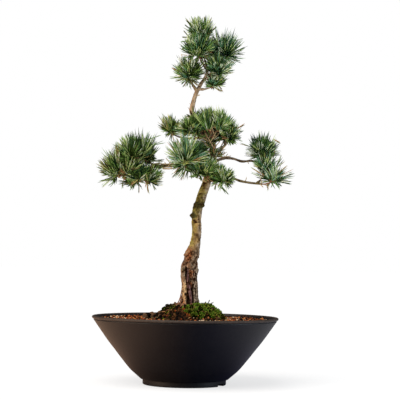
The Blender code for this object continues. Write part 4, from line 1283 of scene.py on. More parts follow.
# %% Dead twigs on the boughs
# Each is its foot, how far it reaches from there, and its radius
DEAD_TWIGS = (
    (116, -10, 323.5, 6, -3, -6, 0.8), (122, -10, 323, 9, -2, -3, 0.7), (92, -6, 327, 3, -4, 7, 0.7),
    (70, 2, 335, 2, 3, 6, 0.7), (96, 11, 362, 3, -3, -5, 0.7), (60, 12, 366, -2, -4, 5, 0.7),
    (120, -10, 323, -4, -2, 13, 0.9), (117, -10, 336, 4, -2, 4, 0.7), (-12, 12, 352, -5, -6, -5, 0.8),
    (-34, 6, 351, -4, 3, 7, 0.8), (-52, 2, 349, 7, -4, 9, 0.8), (-60, 0, 347, 5, -3, -8, 0.7),
    (-44, 3, 351, -6, -5, -7, 0.7), (-88, -4, 339, -7, -6, -9, 0.8), (-80, -3, 341, 3, -6, -11, 0.7),
    (-72, -5, 343, -5, -5, -10, 0.7), (-96, -6, 337, -8, -4, -7, 0.7), (-43, 0, 354, 21, -2, 1, 1.0),
    (-43, -2, 347, 19, -2, 5, 0.9), (-29, 2, 356, -7, -2, 8, 0.8), (18, -10, 331, 13, -2, -6, 0.9),
    (41, -14, 323, 14, -2, -5, 0.8), (39, -14, 411, -6, -2, -16, 0.9), (24, -15, 417, 13, -2, -15, 0.8),
    (38, -13, 410, 6, -2, -13, 0.8), (23, -13, 396, 17, -2, -8, 0.8), (30, -12, 414, -1, -2, -21, 0.7),
    (45, -15, 407, -11, -2, -20, 0.8), (35, -11, 391, 10, -2, -16, 0.7), (27, -16, 404, 13, -2, -23, 0.7),
    (41, -17, 418, -5, -2, -12, 0.8), (50, -12, 404, -11, -2, -10, 0.7), (34, -11, 380, -10, -2, 11, 0.7),
    (36, -18, 415, 5, -2, -13, 0.8), (32, -18, 408, 9, -2, 6, 0.7), (45, -2, 370, 19, -2, 19, 1.4),
    (48, 6, 367, 22, -2, 2, 1.0), (42, 4, 368, 10, 8, 11, 0.9), (38, 3, 388, -11, 9, 7, 0.9),
    (40, 4, 358, -9, 10, 9, 0.9), (33, -2, 336, -9, -9, -5, 0.9), (34, -3, 331, 8, -9, 6, 0.9),
    (8, 4, 450, -7, -3, 3, 0.8), (10, 5, 466, 8, -3, 2, 0.8), (14, 3, 474, -7, -5, 8, 0.9),
    (18, 2, 483, -9, -5, 3, 0.8), (22, 1, 490, 9, -6, 5, 0.8), (24, 1, 493, -6, -2, 3, 0.7),
    (27, -1, 500, -8, -6, 5, 0.8), (27, -2, 508, 7, -7, 5, 0.8), (4, -8, 531, -17, -2, 0, 0.7),
    (-13, -8, 532, 0, -2, -6, 0.6), (-27, 4, 405, 5, -4, -21, 0.9), (-40, -3, 346, 21, -2, 1, 1.3),
    (45, 0, 367, 11, -2, 16, 1.1), (47, -1, 378, 11, -2, 13, 0.9), (44, -3, 384, 9, -2, 11, 0.9),
    (49, 2, 368, 14, -2, 7, 0.9),
)
dead_lines = []
for *ends, radius in DEAD_TWIGS:
    place, reach = np.array(ends, float).reshape(2, 3)
    bend = place + reach * 0.55 + np.array([0.8, -0.6, -0.7])
    fork = unit(reach[[1, 2, 0]] * (1, -1, 1) + reach) * np.linalg.norm(reach) * 0.3
    branches = (
        ([place, bend, place + reach], radius, radius * 0.5),
        ([bend, bend + fork * 0.5 + (0, 0, 0.5), bend + fork], radius * 0.7, radius * 0.4),
    )
    dead_lines += [(smooth(stations, 4), np.linspace(thick, thin, 9)) for stations, thick, thin in branches]
print("dead twigs", len(DEAD_TWIGS))


# %% The mesh of all twigs
def twig_tube(line, radii, columns=7):
    """A thin tube whose radius swells and shrinks by noise at each step, with its two ends closed."""
    rows = even_steps(np.column_stack([line, radii]), 1.3)
    _, first, second = frames_along(rows[:, :3])
    outward = spokes(first, second, full_turn(columns))
    skin = rows[:, None, :3] + outward * rows[:, 3, None, None]
    skin = skin + outward * (rows[:, 3, None] * 0.28 * ripple(skin, 1.3, 81))[..., None]
    return np.vstack([skin.reshape(-1, 3), rows[:1, :3], rows[-1:, :3]]), closed_grid(len(rows), columns)


twig_bark = patchy_finish(
    "twig_bark", ((0.34, 0.15, 0.07), (0.24, 0.13, 0.07), (0.10, 0.055, 0.035)),
    size=2.5, roughness=0.8, depth=0.15,
)
twigs = join_shells([twig_tube(line, radii) for line, radii in all_lines])
belong(lay_mesh("twigs", *twigs, [twig_bark]), "bark")
dry_wood = patchy_finish(
    "dry_wood", ((0.74, 0.56, 0.32), (0.50, 0.36, 0.19), (0.15, 0.10, 0.055)),
    size=3.0, roughness=0.85, depth=0.2,
)
dead_twigs = join_shells([twig_tube(line, radii) for line, radii in dead_lines])
belong(lay_mesh("dead_twigs", *dead_twigs, [dry_wood]), "bark")

# %% Buds
BUD_LENGTH, BUD_RADIUS = 2.1, 0.85
bud_finish = plain_finish("bud", (0.50, 0.33, 0.13), 0.6)
shoots = [shoot for name in MASSES for shoot in all_shoots[name]]
tips = np.array([shoot.start + shoot.way * shoot.length for shoot in shoots])
ways, first, second = frames_across(np.array([shoot.way for shoot in shoots]))
shape = BALL * np.array([BUD_RADIUS, BUD_RADIUS, BUD_LENGTH])
buds = tips[:, None] + ways[:, None] * BUD_LENGTH * 0.6
for direction, reach in zip((first, second, ways), shape.T):
    buds = buds + direction[:, None] * reach[None, :, None]
bud_faces = (BALL_FACES[None] + 12 * np.arange(len(tips))[:, None, None]).reshape(-1, 3)
belong(lay_mesh("buds", buds.reshape(-1, 3), bud_faces, [bud_finish]), "needle_green")

# %% [markdown]
# ### Needles
#
# A needle is three-sided. Its outer side is green, and its two inner sides carry pale lines, which is what
# gives the tufts their silvery look. Each one here is a slim prism of three rings and a point, bent a
# little upwards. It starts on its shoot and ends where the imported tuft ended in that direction, so the
# crown keeps its outline. A needle that would touch a bough is left out. Each shoot also has a second set,
# shorter and darker, for the shaded needles inside the tuft, and a few needles that hang from its foot.
#
# No tree is as even as a rule. So tables say where a mass is longer, shorter or thinner, where it is
# darker, lighter or dry, which long sprays stray out of it, and where the sky shows through.

# %% Needle tints
TINTS = {
    "mid": (0.14, 0.255, 0.056), "deep": (0.036, 0.066, 0.011), "bright": (0.415, 0.525, 0.185),
    "yellow": (0.56, 0.55, 0.19), "blue": (0.115, 0.265, 0.145), "dusk": (0.014, 0.05, 0.018),
    "olive": (0.27, 0.23, 0.085), "dry": (0.4, 0.205, 0.085), "silver": (0.62, 0.69, 0.52),
}
needle_finishes = [
    plain_finish("needle_" + tint, colour, 0.42, Specular_IOR_Level=0.15) for tint, colour in TINTS.items()
]
MID, DEEP, BRIGHT, YELLOW, BLUE, DUSK, OLIVE, DRY, SILVER = range(len(TINTS))
print("needle finishes", len(needle_finishes))

# %% Where the masses differ from the rule
# Shares of mid, deep, bright, yellow, blue, dusk, olive and dry in the sprays of each mass, and the share
# of bundles that show their silver sides
DEALT = by_node({
    "left_upper": (31, 44, 13, 0, 4, 6, 2, 0, 0.09), "left_lower": (30, 26, 26, 3, 0, 4, 11, 1, 0.1),
    "left_under": (23, 29, 12, 2, 3, 12, 16, 3, 0.15), "front_left": (20, 9, 20, 3, 41, 4, 2, 0, 0.5),
    "front_middle": (34, 24, 22, 4, 12, 4, 0, 0, 0.18), "front_right": (32, 28, 24, 4, 6, 4, 2, 0, 0.22),
    "right_low": (18, 25, 8, 0, 25, 24, 0, 0, 0.44), "right_raised": (20, 25, 9, 0, 28, 18, 0, 0, 0.48),
    "right_mid": (20, 24, 12, 0, 12, 32, 0, 0, 0.34), "right_inner": (26, 34, 22, 2, 10, 6, 0, 0, 0.24),
    "mid_left": (32, 22, 30, 5, 8, 2, 1, 0, 0.3), "far_left": (32, 14, 34, 8, 4, 0, 9, 0, 0.3),
    "mid_right": (28, 28, 20, 2, 16, 6, 0, 0, 0.22), "back_low": (34, 34, 10, 2, 12, 8, 0, 0, 0.2),
    "back_mid": (34, 34, 10, 2, 12, 8, 0, 0, 0.2), "top_left": (28, 26, 18, 2, 10, 10, 6, 0, 0.32),
    "crown": (26, 20, 22, 0, 25, 5, 3, 0, 0.56), "top_front": (30, 21, 12, 0, 18, 19, 0, 0, 0.25),
    "top_right": (18, 12, 10, 0, 28, 32, 0, 0, 0.42), "top_low_right": (30, 24, 26, 2, 12, 4, 2, 0, 0.42),
    "top_mid_right": (24, 20, 12, 0, 22, 20, 2, 0, 0.28), "top_back": (34, 34, 12, 2, 10, 8, 0, 0, 0.2),
})
# Where a mass grew longer or shorter than its packed tufts: a direction and the change of length that way
SHAPING = by_node({
    "left_upper": (((0.9, 0, -0.3), -0.62), ((-0.3, 0, 1), 0.1), ((0.6, 0, 0.8), 0.1)),
    "left_lower": (((-0.8, 0, -0.6), -0.3), ((-0.6, 0, 0.8), 0.28)),
    "left_under": (((0.9, 0, -0.3), -0.15),), "front_left": (((-1, 0, 0.1), -0.18),),
    "front_middle": (((-0.6, 0, -0.8), -0.6),), "front_right": (((0.8, 0, 0.5), -0.35),),
    "mid_right": (((1, 0, 0.1), -0.4), ((-0.1, 0, 1), 0.14)), "right_inner": (((1, 0, 0.1), -0.45),),
    "right_low": (((0.6, 0, 0.8), -0.35), ((0.5, 0, -0.8), 0.1), ((-0.8, 0, -0.4), -0.1), ((1, 0, 0), 0.25)),
    "right_mid": (((-0.9, 0, 0.1), 0.05),),
    "far_left": (((0.5, 0, 0.9), -0.15), ((-0.9, 0, -0.3), -0.2), ((-0.8, 0, 0.6), 0.2), ((0, 0, -1), 0.1)),
    "mid_left": (((-0.5, 0, 0.8), -0.35), ((0, 0, -1), -0.3)),
    "crown": (((0.9, 0, 0.3), -0.3), ((-1, 0, 0), -0.25), ((-0.1, 0, 1), 0.2)),
    "top_front": (((-1, 0, 0), 0.06),), "top_left": (((-0.7, 0, -0.7), -0.25), ((0.2, 0, -1), 0.2)),
    "top_right": (((0.3, 0, 1), 0.14), ((1, 0, -0.2), 0.2)), "top_mid_right": (((1, 0, -0.2), -0.05),),
    "top_low_right": (((1, 0, 0.2), 0.15), ((0.2, 0, -1), -0.1)), "right_raised": (((-1, 0, 0), -0.2),),
})
# Where a mass is thin enough for single needles to show: a direction and the share that is left there
OPEN_SIDES = by_node({
    "left_upper": (((0.9, 0, -0.3), 0.5), ((0, 0, 1), 0.8)),
    "left_lower": (((-0.8, 0, -0.6), 0.25), ((0, 0, -1), 0.5)),
    "left_under": (((0.9, 0, -0.3), 0.3), ((0, 0, -1), 0.4)), "front_left": (((-0.7, 0, -0.7), 0.45),),
    "front_right": (((0.9, 0, -0.3), 0.5),), "right_low": (((0.8, 0, 0.6), 0.25), ((0.5, 0, -0.8), 0.5)),
    "right_mid": (((0.8, 0, -0.4), 0.4), ((-0.9, 0, -0.3), 0.45)), "right_raised": (((1, 0, 0.3), 0.4),),
    "mid_right": (((1, 0, 0.1), 0.4),), "right_inner": (((1, 0, 0.1), 0.35),),
    "mid_left": (((0, 0, -1), 0.5),), "far_left": (((-0.9, 0, -0.3), 0.5), ((0, 0, -1), 0.4)),
    "crown": (((0.9, 0, 0.3), 0.5), ((-1, 0, 0), 0.5), ((0, 0, 1), 0.6)),
    "top_front": (((-1, 0, 0), 0.5),), "top_left": (((-0.9, 0, -0.2), 0.5), ((0, 0, -1), 0.45)),
    "top_right": (((1, 0, 0), 0.45), ((0.3, 0, 1), 0.6)), "top_mid_right": (((1, 0, -0.2), 0.4),),
    "top_low_right": (((1, 0, 0), 0.5), ((0, 0, -1), 0.5)),
})
# The share of the bundles that is left on a thin mass
LEFT_ON = by_node({"right_low": 0.46, "right_raised": 0.6, "far_left": 0.8})
# Old, bare places in front of the trunk, where dead twigs show: x, z and the two half widths
BARE_PLACES = ((35, 405, 13, 13), (36, 386, 9, 12))
# Places in the crown as the camera sees them, marked on the plane y = 0 by x, z and radius: where the sky
# shows through, where old needles turned brown, where needles shade each other, and where they catch light
SKY_PLACES = (
    (50, 387, 5), (-48, 370, 4), (166, 341, 3), (1, 338, 4), (-17, 396, 4), (49, 574, 3), (9, 529, 2),
    (-5, 533, 3), (24, 497, 3), (-6, 336, 3), (-71, 402, 3), (-113, 389, 3), (136, 401, 3), (-48, 386, 3),
    (59, 314, 3), (-132, 333, 2),
)
DRY_PLACES = ((-107, 333, 8), (-67, 323, 5), (32, 331, 5), (16, 330, 4))
DARK_PLACES = (
    (27, 418, 9), (-69, 339, 9), (-86, 384, 9), (125, 371, 8), (25, 516, 6), (11, 374, 7), (125, 387, 6),
    (8, 500, 6), (142, 323, 5), (-84, 343, 7), (26, 515, 7), (9, 420, 6), (-76, 337, 6),
)
LIGHT_PLACES = (
    (12, 337, 7), (-118, 336, 7), (139, 340, 8), (25, 388, 9), (-104, 384, 8), (44, 365, 7),
    (-21, 369, 8), (59, 419, 7), (60, 336, 6), (7, 533, 6), (58, 322, 6), (-54, 337, 6), (-90, 402, 6),
    (57, 500, 6), (-9, 532, 5),
)
# Long single sprays that leave a mass, in groups: the mass, the y of their roots and the y of their tips, and
# a row for each spray with x and z of its root and x and z of its tip
STRAYS = (
    ("left_lower", -4, -8, (
        (-119, 331, -142, 313), (-117, 330, -141, 324), (-114, 328, -130, 314), (-132, 341, -148, 347),
        (-122, 336, -141, 332), (-116, 331, -146, 320),
    )),
    ("left_under", -8, -10, (
        (-78, 322, -78, 302), (-65, 322, -63, 303), (-57, 322, -50, 309), (-60, 325, -36, 320),
        (-62, 328, -40, 334), (-104, 325, -105, 310), (-93, 322, -91, 311), (-60, 330, -38, 327),
        (-66, 392, -41, 400), (-65, 382, -37, 389), (-61, 356, -37, 360),
    )),
    ("left_under", -8, -12, ((-61, 358, -38, 357), (-59, 353, -40, 354))),
    ("front_left", -36, -41, (
        (-1, 353, -24, 326), (-1, 355, -29, 341), (-2, 347, -10, 322), (1, 352, -18, 327),
        (2, 348, 15, 329), (-2, 356, -31, 349), (4, 347, 8, 324), (-1, 352, -21, 338),
        (-1, 350, -21, 332), (1, 348, -15, 324), (-1, 355, -24, 346), (1, 352, -20, 336),
        (2, 347, -4, 324),
    )),
    ("front_left", -30, -34, ((-11, 374, -25, 390), (-9, 376, -19, 395))),
    ("front_left", -36, -40, ((-10, 348, -23, 325), (-12, 345, -26, 332))),
    ("front_left", -32, -36, ((-13, 366, -35, 389),)),
    ("front_right", -28, -31, (
        (51, 322, 64, 304), (58, 331, 76, 318), (46, 322, 43, 310), (52, 320, 68, 302),
        (60, 329, 72, 312), (62, 337, 78, 332), (54, 324, 56, 311),
    )),
    ("far_left", 8, 5, ((-27, 408, -29, 390), (-28, 410, -39, 397), (-32, 413, -43, 405))),
    ("far_left", 7, 4, ((-25, 414, -22, 434), (-24, 412, -15, 429), (-26, 412, -27, 431))),
    ("right_mid", 6, 3, (
        (117, 368, 91, 371), (110, 378, 92, 382), (104, 384, 83, 392), (138, 398, 151, 390),
        (120, 370, 98, 364),
    )),
    ("mid_right", -12, -15, ((74, 397, 88, 390), (77, 405, 91, 408), (77, 411, 93, 419))),
    ("top_left", -7, -10, (
        (-12, 495, -33, 494), (-13, 503, -30, 509), (-5, 490, -13, 482), (0, 489, -5, 478),
        (6, 489, 5, 477), (-7, 492, -24, 486), (3, 487, 0, 477), (-3, 489, -10, 477),
    )),
    ("crown", -6, -9, (
        (5, 577, -8, 590), (8, 582, 1, 595), (14, 584, 13, 597), (23, 586, 24, 598), (29, 582, 36, 594),
        (36, 571, 44, 579), (3, 572, -10, 580), (-1, 561, -11, 572),
    )),
    ("top_front", -16, -17, ((18, 534, 20, 517),)),
    ("top_front", -15, -17, (
        (22, 535, 27, 519), (16, 533, 14, 519), (19, 532, 24, 514), (26, 534, 33, 517),
        (22, 529, 19, 513),
    )),
    ("top_front", -20, -24, ((-3, 545, -15, 535), (-4, 552, -15, 548), (-3, 558, -14, 557))),
    ("top_right", 6, 3, (
        (74, 558, 89, 562), (76, 541, 92, 546), (74, 536, 92, 533), (68, 534, 84, 527),
        (71, 530, 84, 523),
    )),
    ("top_mid_right", -12, -15, ((56, 510, 71, 510), (58, 507, 68, 500), (58, 516, 74, 518))),
    ("top_low_right", 0, -4, ((45, 486, 55, 475), (47, 490, 60, 488))),
    ("right_low", -13, -17, (
        (142, 331, 176, 333), (144, 335, 171, 344), (142, 338, 164, 351), (144, 328, 170, 324),
        (128, 323, 130, 312), (136, 360, 140, 378), (144, 356, 151, 372), (139, 346, 156, 362),
        (149, 333, 174, 340), (136, 326, 139, 317), (144, 327, 152, 318), (141, 349, 153, 367),
    )),
    ("right_low", -13, -16, (
        (124, 337, 100, 350), (122, 333, 99, 342), (135, 326, 141, 314), (138, 327, 134, 316),
    )),
)
STRAY_MASSES = {"needles_" + mass for mass, *_ in STRAYS}
print("long sprays", sum(len(rows) for *_, rows in STRAYS), "in", len(STRAY_MASSES), "masses")

# %% How one mass grows its needles
HANGING = 5
PER_BUNDLE = 5
SHADED_LENGTH = 0.66
limb_points = np.vstack([limb_line(name)[0] for name in ("trunk", *LIMBS)])
limb_radii = np.concatenate([limb_line(name)[1] for name in ("trunk", *LIMBS)])
CLEARANCE = 0.8
LIFT = 0.36


def grow_needles(name, shoots, dice):
    """Roots, ways, lengths, outer sides, tints and silver sides of all needles of a mass.

    Bundle i of n turns by the golden angle and leans from the shoot's tip, along = 1 - share (1 - cos fan).
    Each shoot has a second, shorter and darker set, the shaded needles inside the tuft."""
    mass = MASSES[name]
    chances = np.array(DEALT[name][:8], float)
    chances /= chances.sum()
    rows = []
    for shoot, shaded in [(shoot, shaded) for shoot in shoots for shaded in (False, True)]:
        spray_tint = dice.choice(8, p=chances)
        main = shoot.bundles == MAIN_BUNDLES
        count = shoot.bundles + HANGING * (main and not shaded)
        share = (np.arange(count)[:, None] + 0.5) / shoot.bundles
        hangs = share > 1
        share = share.clip(0, 1)
        along = np.where(hangs, 0.05, 1 - share * (1 - math.cos(math.radians(shoot.fan))))
        turn = dice.uniform(0, 2 * math.pi) + np.arange(count)[:, None] * GOLDEN_ANGLE
        first, second = sides_of(shoot.way)
        around = first * np.cos(turn) + second * np.sin(turn)
        stray = dice.uniform(-0.13, 0.13, (count, 3))
        lift = np.where(hangs, -0.35, LIFT)
        ways = around * np.sqrt(1 - along**2) + shoot.way * (along + SWEEP * ~hangs) + lift * UP + stray
        roots = shoot.start + shoot.way * shoot.length * (1 - 0.72 * share) + around * 0.5
        own = np.where(dice.random(count) < 0.55, spray_tint, dice.choice(8, count, p=chances))
        old = (share[:, 0] > 0.8) & (dice.random(count) < 0.2)
        own = np.where(old, dice.choice([YELLOW, OLIVE, DRY], count, p=(0.45, 0.40, 0.15)), own)
        low_tints = dice.choice([DEEP, DRY, OLIVE, MID], count, p=(0.28, 0.10, 0.27, 0.35))
        own = np.where(hangs[:, 0], low_tints, own)
        silver = dice.random(count) < DEALT[name][8]
        if shaded:
            dark_chances = chances[[DEEP, DUSK]] / chances[[DEEP, DUSK]].sum()
            own = dice.choice([DEEP, DUSK], count, p=dark_chances)
            silver = np.zeros(count, bool)
        centres, axes = np.tile(shoot.centre, (count, 1)), np.tile(shoot.axis, (count, 1))
        scale = np.full(count, SHADED_LENGTH if shaded else 1.0)
        scale = np.where(dice.random(count) < LEFT_ON.get(name, 1.0), scale, 0.0)
        rows.append((roots, unit(ways), own, silver, centres, axes, scale))
    roots, ways, own, silver, centres, axes, scale = (
        np.repeat(np.concatenate(part), PER_BUNDLE, axis=0) for part in zip(*rows)
    )
    total = len(roots)
    bundles = total // PER_BUNDLE
    _, first, second = frames_across(ways)
    spread = (np.tile(np.arange(PER_BUNDLE), bundles) / PER_BUNDLE * 2 * math.pi)[:, None]
    spread = spread + np.repeat(dice.uniform(0, 2 * math.pi, (bundles, 1)), PER_BUNDLE, axis=0)
    outer = first * np.cos(spread) + second * np.sin(spread)
    roots = roots + outer * 0.35
    ways = unit(ways + outer * dice.uniform(0.05, 0.20, (total, 1)))
    own = np.where((dice.random(total) < 0.48) & (scale == 1), dice.choice(8, total, p=chances), own)
    towards = (ways * axes).sum(-1)
    rising = 1 + 0.10 * ways[:, 2].clip(-1, 1)
    reach = mass.needle * 1.03 * rising + CORE_RADIUS + (CORE_LENGTH / 2 - CORE_RADIUS) * towards.clip(0)
    offset = roots - centres
    lead = (offset * ways).sum(-1)
    limit = -lead + np.sqrt((lead**2 + reach**2 - (offset**2).sum(-1)).clip(0))
    in_bundle = np.repeat(0.74 + 0.40 * dice.random(bundles) ** 1.6, PER_BUNDLE)
    lengths = mass.needle * (1 + 0.28 * towards.clip(0)) * in_bundle
    lengths = lengths * dice.uniform(0.84, 1.06, total)
    in_bundle = np.repeat(0.76 + 0.36 * dice.random(bundles) ** 1.4, PER_BUNDLE)
    lengths = np.minimum(lengths, limit * in_bundle) * scale
    for side, change in SHAPING.get(name, ()):
        lengths = lengths * (1 + change * (ways * unit(side)).sum(-1).clip(0) ** 2)
    for side, share in OPEN_SIDES.get(name, ()):
        lengths = lengths * (dice.random(total) > (1 - share) * (ways * unit(side)).sum(-1).clip(0) ** 2)
    lengths = lengths * np.where(ways[:, 2] < -0.2, dice.uniform(0.62, 1.02, total), 1.0)
    return roots, ways, lengths, outer, own, silver


def clear_of_limbs(roots, ways, lengths):
    """True for each needle that keeps the clearance from every point of the limbs."""
    share = np.linspace(0.2, 1, 5)[None, :, None]
    places = roots[:, None] + ways[:, None] * lengths[:, None, None] * share
    near = np.linalg.norm(limb_points - roots.mean(0), axis=-1) < 75
    apart = np.linalg.norm(places[:, :, None] - limb_points[near][None, None], axis=-1) - limb_radii[near]
    return apart.reshape(len(roots), -1).min(-1) > CLEARANCE


def in_bare_place(roots, ways, lengths):
    """True for each needle in front of the trunk that would cross one of the bare places."""
    crossing = np.zeros(len(roots), bool)
    for share in (0.35, 0.7, 1.0):
        places = roots + ways * (lengths * share)[:, None]
        for x, z, wide, high in BARE_PLACES:
            inside = ((places[:, 0] - x) / wide) ** 2 + ((places[:, 2] - z) / high) ** 2 < 1
            crossing |= inside & (places[:, 1] < 0)
    return crossing


def as_seen(points):
    """(x, z) where the camera's line of sight to each point meets the plane y = 0."""
    eye = np.array(CAMERA_PLACE) / MM
    return eye[::2] + (points[:, ::2] - eye[::2]) * (eye[1] / (eye[1] - points[:, 1:2]))


def before_sky(roots, ways, lengths):
    """True for each needle that would hide one of the places of sky."""
    hiding = np.zeros(len(roots), bool)
    for share in np.linspace(0.1, 1, 8):
        seen_at = as_seen(roots + ways * (lengths * share)[:, None])
        for *place, radius in SKY_PLACES:
            hiding |= np.linalg.norm(seen_at - place, axis=-1) < radius
    return hiding


def tinted_by_place(roots, ways, lengths, own, silver, dice):
    """Tints and silver sides, changed for most needles whose middle lies in a dark, light or dry place."""
    middles = roots + ways * lengths[:, None] * 0.5
    for places, tints, share_changed, silver_share in (
        (DARK_PLACES, (DEEP, DUSK, MID), 0.85, 0.0), (LIGHT_PLACES, (BRIGHT, MID, MID), 0.7, 0.6),
        (DRY_PLACES, (DRY,), 0.6, 0.0),
    ):
        for *place, radius in places:
            near = (np.linalg.norm(as_seen(middles) - place, axis=-1) < radius) & (middles[:, 1] < 6)
            changed = near & (dice.random(len(own)) < share_changed)
            own = np.where(changed, dice.choice(tints, len(own)), own)
            silver = np.where(changed, dice.random(len(own)) < silver_share, silver)
    return own, silver


def stray_needles(name, dice):
    """Three needles for each long spray of a mass, spread a little about the line from root to tip."""
    lines = np.array([
        ((root_x, root_y, root_z), (tip_x, tip_y, tip_z))
        for mass, root_y, tip_y, rows in STRAYS if "needles_" + mass == name
        for root_x, root_z, tip_x, tip_z in rows
    ], float)
    lines = np.repeat(lines, 3, axis=0)
    spans = lines[:, 1] - lines[:, 0]
    lengths = np.linalg.norm(spans, axis=-1)
    ways = unit(spans / lengths[:, None] + dice.normal(0, 0.06, spans.shape))
    own = dice.choice([MID, DEEP, DUSK, OLIVE, DRY], len(lines), p=(0.28, 0.36, 0.12, 0.14, 0.10))
    lengths = lengths * dice.uniform(0.85, 1.0, len(lines))
    return lines[:, 0], ways, lengths, dice.normal(size=spans.shape), own, dice.random(len(lines)) < 0.1


print("points of the limbs", len(limb_points))

# %% Needles as prisms
NEEDLE_RADIUS = 0.75
RINGS = ((0.0, 0.85), (0.45, 1.0), (0.82, 0.68))


def needle_prisms(roots, ways, lengths, outer, own, silver, dice):
    """Prisms with three rings of three corners and a point: centre(t) = root + way t length + bend t²."""
    count = len(roots)
    outer = unit(outer - ways * (outer * ways).sum(-1, keepdims=True))
    over = np.cross(ways, outer)
    bend = (0.6 * UP + dice.normal(0, 0.5, (count, 3))) * (lengths * 0.055)[:, None]
    ring = spokes(outer, over, np.radians([-60, 60, 180]))
    widths = NEEDLE_RADIUS * dice.uniform(0.85, 1.12, count)
    centres = [roots + ways * (lengths * t)[:, None] + bend * t * t for t, _ in RINGS]
    levels = [
        centre[:, None] + ring * (widths * size)[:, None, None] for centre, (_, size) in zip(centres, RINGS)
    ]
    tips = (roots + ways * lengths[:, None] + bend)[:, None]
    points = np.concatenate([*levels, tips], axis=1)
    faces, face_sides = [(0, 2, 1)], [0]
    for level in (0, 3):
        for side in range(3):
            a, b = level + side, level + (side + 1) % 3
            faces += [(a, b, b + 3), (a, b + 3, a + 3)]
            face_sides += [side, side]
    faces += [(6, 7, 9), (7, 8, 9), (8, 6, 9)]
    face_sides += [0, 0, 0]
    inner_side = np.array(face_sides) > 0
    slots = np.where(inner_side[None] & silver[:, None], SILVER, own[:, None])
    faces = np.array(faces)[None] + 10 * np.arange(count)[:, None, None]
    return points.reshape(-1, 3), faces.reshape(-1, 3), slots.ravel()


print("rings of a needle", len(RINGS))

# %% The needles of each region as one piece
low_corner, high_corner = (np.array(corner) / MM for corner in cad_box)
REGIONS = {
    "needles_left": ("needles_left_upper", "needles_left_lower", "needles_left_under"),
    "needles_front": ("needles_front_left", "needles_front_middle", "needles_front_right"),
    "needles_right": ("needles_right_low", "needles_right_raised", "needles_right_mid",
                      "needles_right_inner"),
    "needles_middle": ("needles_mid_left", "needles_far_left", "needles_mid_right"),
    "needles_back": ("needles_back_low", "needles_back_mid"),
    "needles_top": ("needles_top_left", "needles_crown", "needles_top_front", "needles_top_right",
                    "needles_top_low_right", "needles_top_mid_right", "needles_top_back"),
}
BOX_MARGIN = 2.0
BEND_ROOM = 1.06
SHORTEST_NEEDLE = 6
needle_count = 0
for region, names in REGIONS.items():
    shells, slots = [], []
    for name in names:
        dice = np.random.default_rng(list(name.encode()) + [7])
        grown = grow_needles(name, all_shoots[name], dice)
        clear_sky = ~before_sky(*grown[:3])
        grown = [part[clear_sky] for part in grown]
        if name in STRAY_MASSES:
            grown = [np.concatenate(pair) for pair in zip(grown, stray_needles(name, dice))]
        roots, ways, lengths = grown[:3]
        room = np.where(ways > 0, high_corner - BOX_MARGIN - roots, low_corner + BOX_MARGIN - roots) / ways
        grown = (roots, ways, np.minimum(lengths, room.min(-1) / BEND_ROOM), *grown[3:])
        kept = clear_of_limbs(*grown[:3]) & (grown[2] > SHORTEST_NEEDLE) & ~in_bare_place(*grown[:3])
        grown = [part[kept] for part in grown]
        grown[4], grown[5] = tinted_by_place(*grown[:3], *grown[4:], dice)
        points, faces, own_slots = needle_prisms(*grown, dice)
        shells.append((points, faces))
        slots.append(own_slots)
        needle_count += len(grown[0])
    piece = lay_mesh(region, *join_shells(shells), needle_finishes, np.concatenate(slots), "flat")
    belong(piece, "needle_green", *names)

# %% Short needles straight from the old wood in the middle of the crown, and a young star
OLD_WOOD_BUNDLES = 150
dice = np.random.default_rng(97)
stations = even_steps(trunk_rows, 1.5)
stations = stations[(stations[:, 2] > 366) & (stations[:, 2] < 432)]
picked = np.sort(dice.integers(0, len(stations), OLD_WOOD_BUNDLES))
turn = dice.uniform(-2.8, 0.9, OLD_WOOD_BUNDLES)
outward = np.column_stack([np.cos(turn), np.sin(turn), np.zeros(OLD_WOOD_BUNDLES)])
roots = np.repeat(stations[picked, :3] + outward * stations[picked, 3:4], 4, axis=0)
ways = np.repeat(outward * 0.8 + dice.normal(0, 0.35, outward.shape) + 0.45 * UP, 4, axis=0)
ways = unit(ways + dice.normal(0, 0.22, roots.shape))
lengths = np.repeat(dice.uniform(8, 19, OLD_WOOD_BUNDLES), 4) * dice.uniform(0.8, 1.1, len(roots))
own = dice.choice([DEEP, DUSK, MID, OLIVE, DRY], len(roots), p=(0.25, 0.11, 0.28, 0.24, 0.12))
outer = dice.normal(size=roots.shape)
grown = (roots + ways * 0.4, ways, lengths, outer, own, dice.random(len(roots)) < 0.12)
kept = clear_of_limbs(*grown[:3]) & ~before_sky(*grown[:3])
grown = [part[kept] for part in grown]
# A young star of yellow needles, still short, at the heart of the front tuft
YOUNG_STAR, STAR_NEEDLES = (-3.4, -52.0, 351.3), 26
roots = np.tile(np.array(YOUNG_STAR), (STAR_NEEDLES, 1))
ways = unit(dice.normal(0, 1, roots.shape) * (1, 0.5, 1) + (0, -0.7, 0.2))
young = (
    roots, ways, dice.uniform(6.5, 10, STAR_NEEDLES), dice.normal(size=roots.shape),
    dice.choice([YELLOW, BRIGHT, OLIVE], STAR_NEEDLES, p=(0.5, 0.3, 0.2)), np.zeros(STAR_NEEDLES, bool),
)
grown = [np.concatenate(pair) for pair in zip(grown, young)]
*inner, slots = needle_prisms(*grown, dice)
belong(lay_mesh("needles_old_wood", *inner, needle_finishes, slots, "flat"), "needle_green")
print("needles", needle_count + len(grown[0]))

# %% [markdown]
# ## What lies on the soil
#
# Thin reddish roots run out from the foot of the trunk and dive into the grit, and four more reach down
# through the air at the left of the foot. Dark clods lie at the left, dried needles have dropped all
# round, and four small moss stalks stand up at the right. None of it is tidy, so each kind is scattered by
# its own rule: roots by a list of where they start and end, the rest by chance.

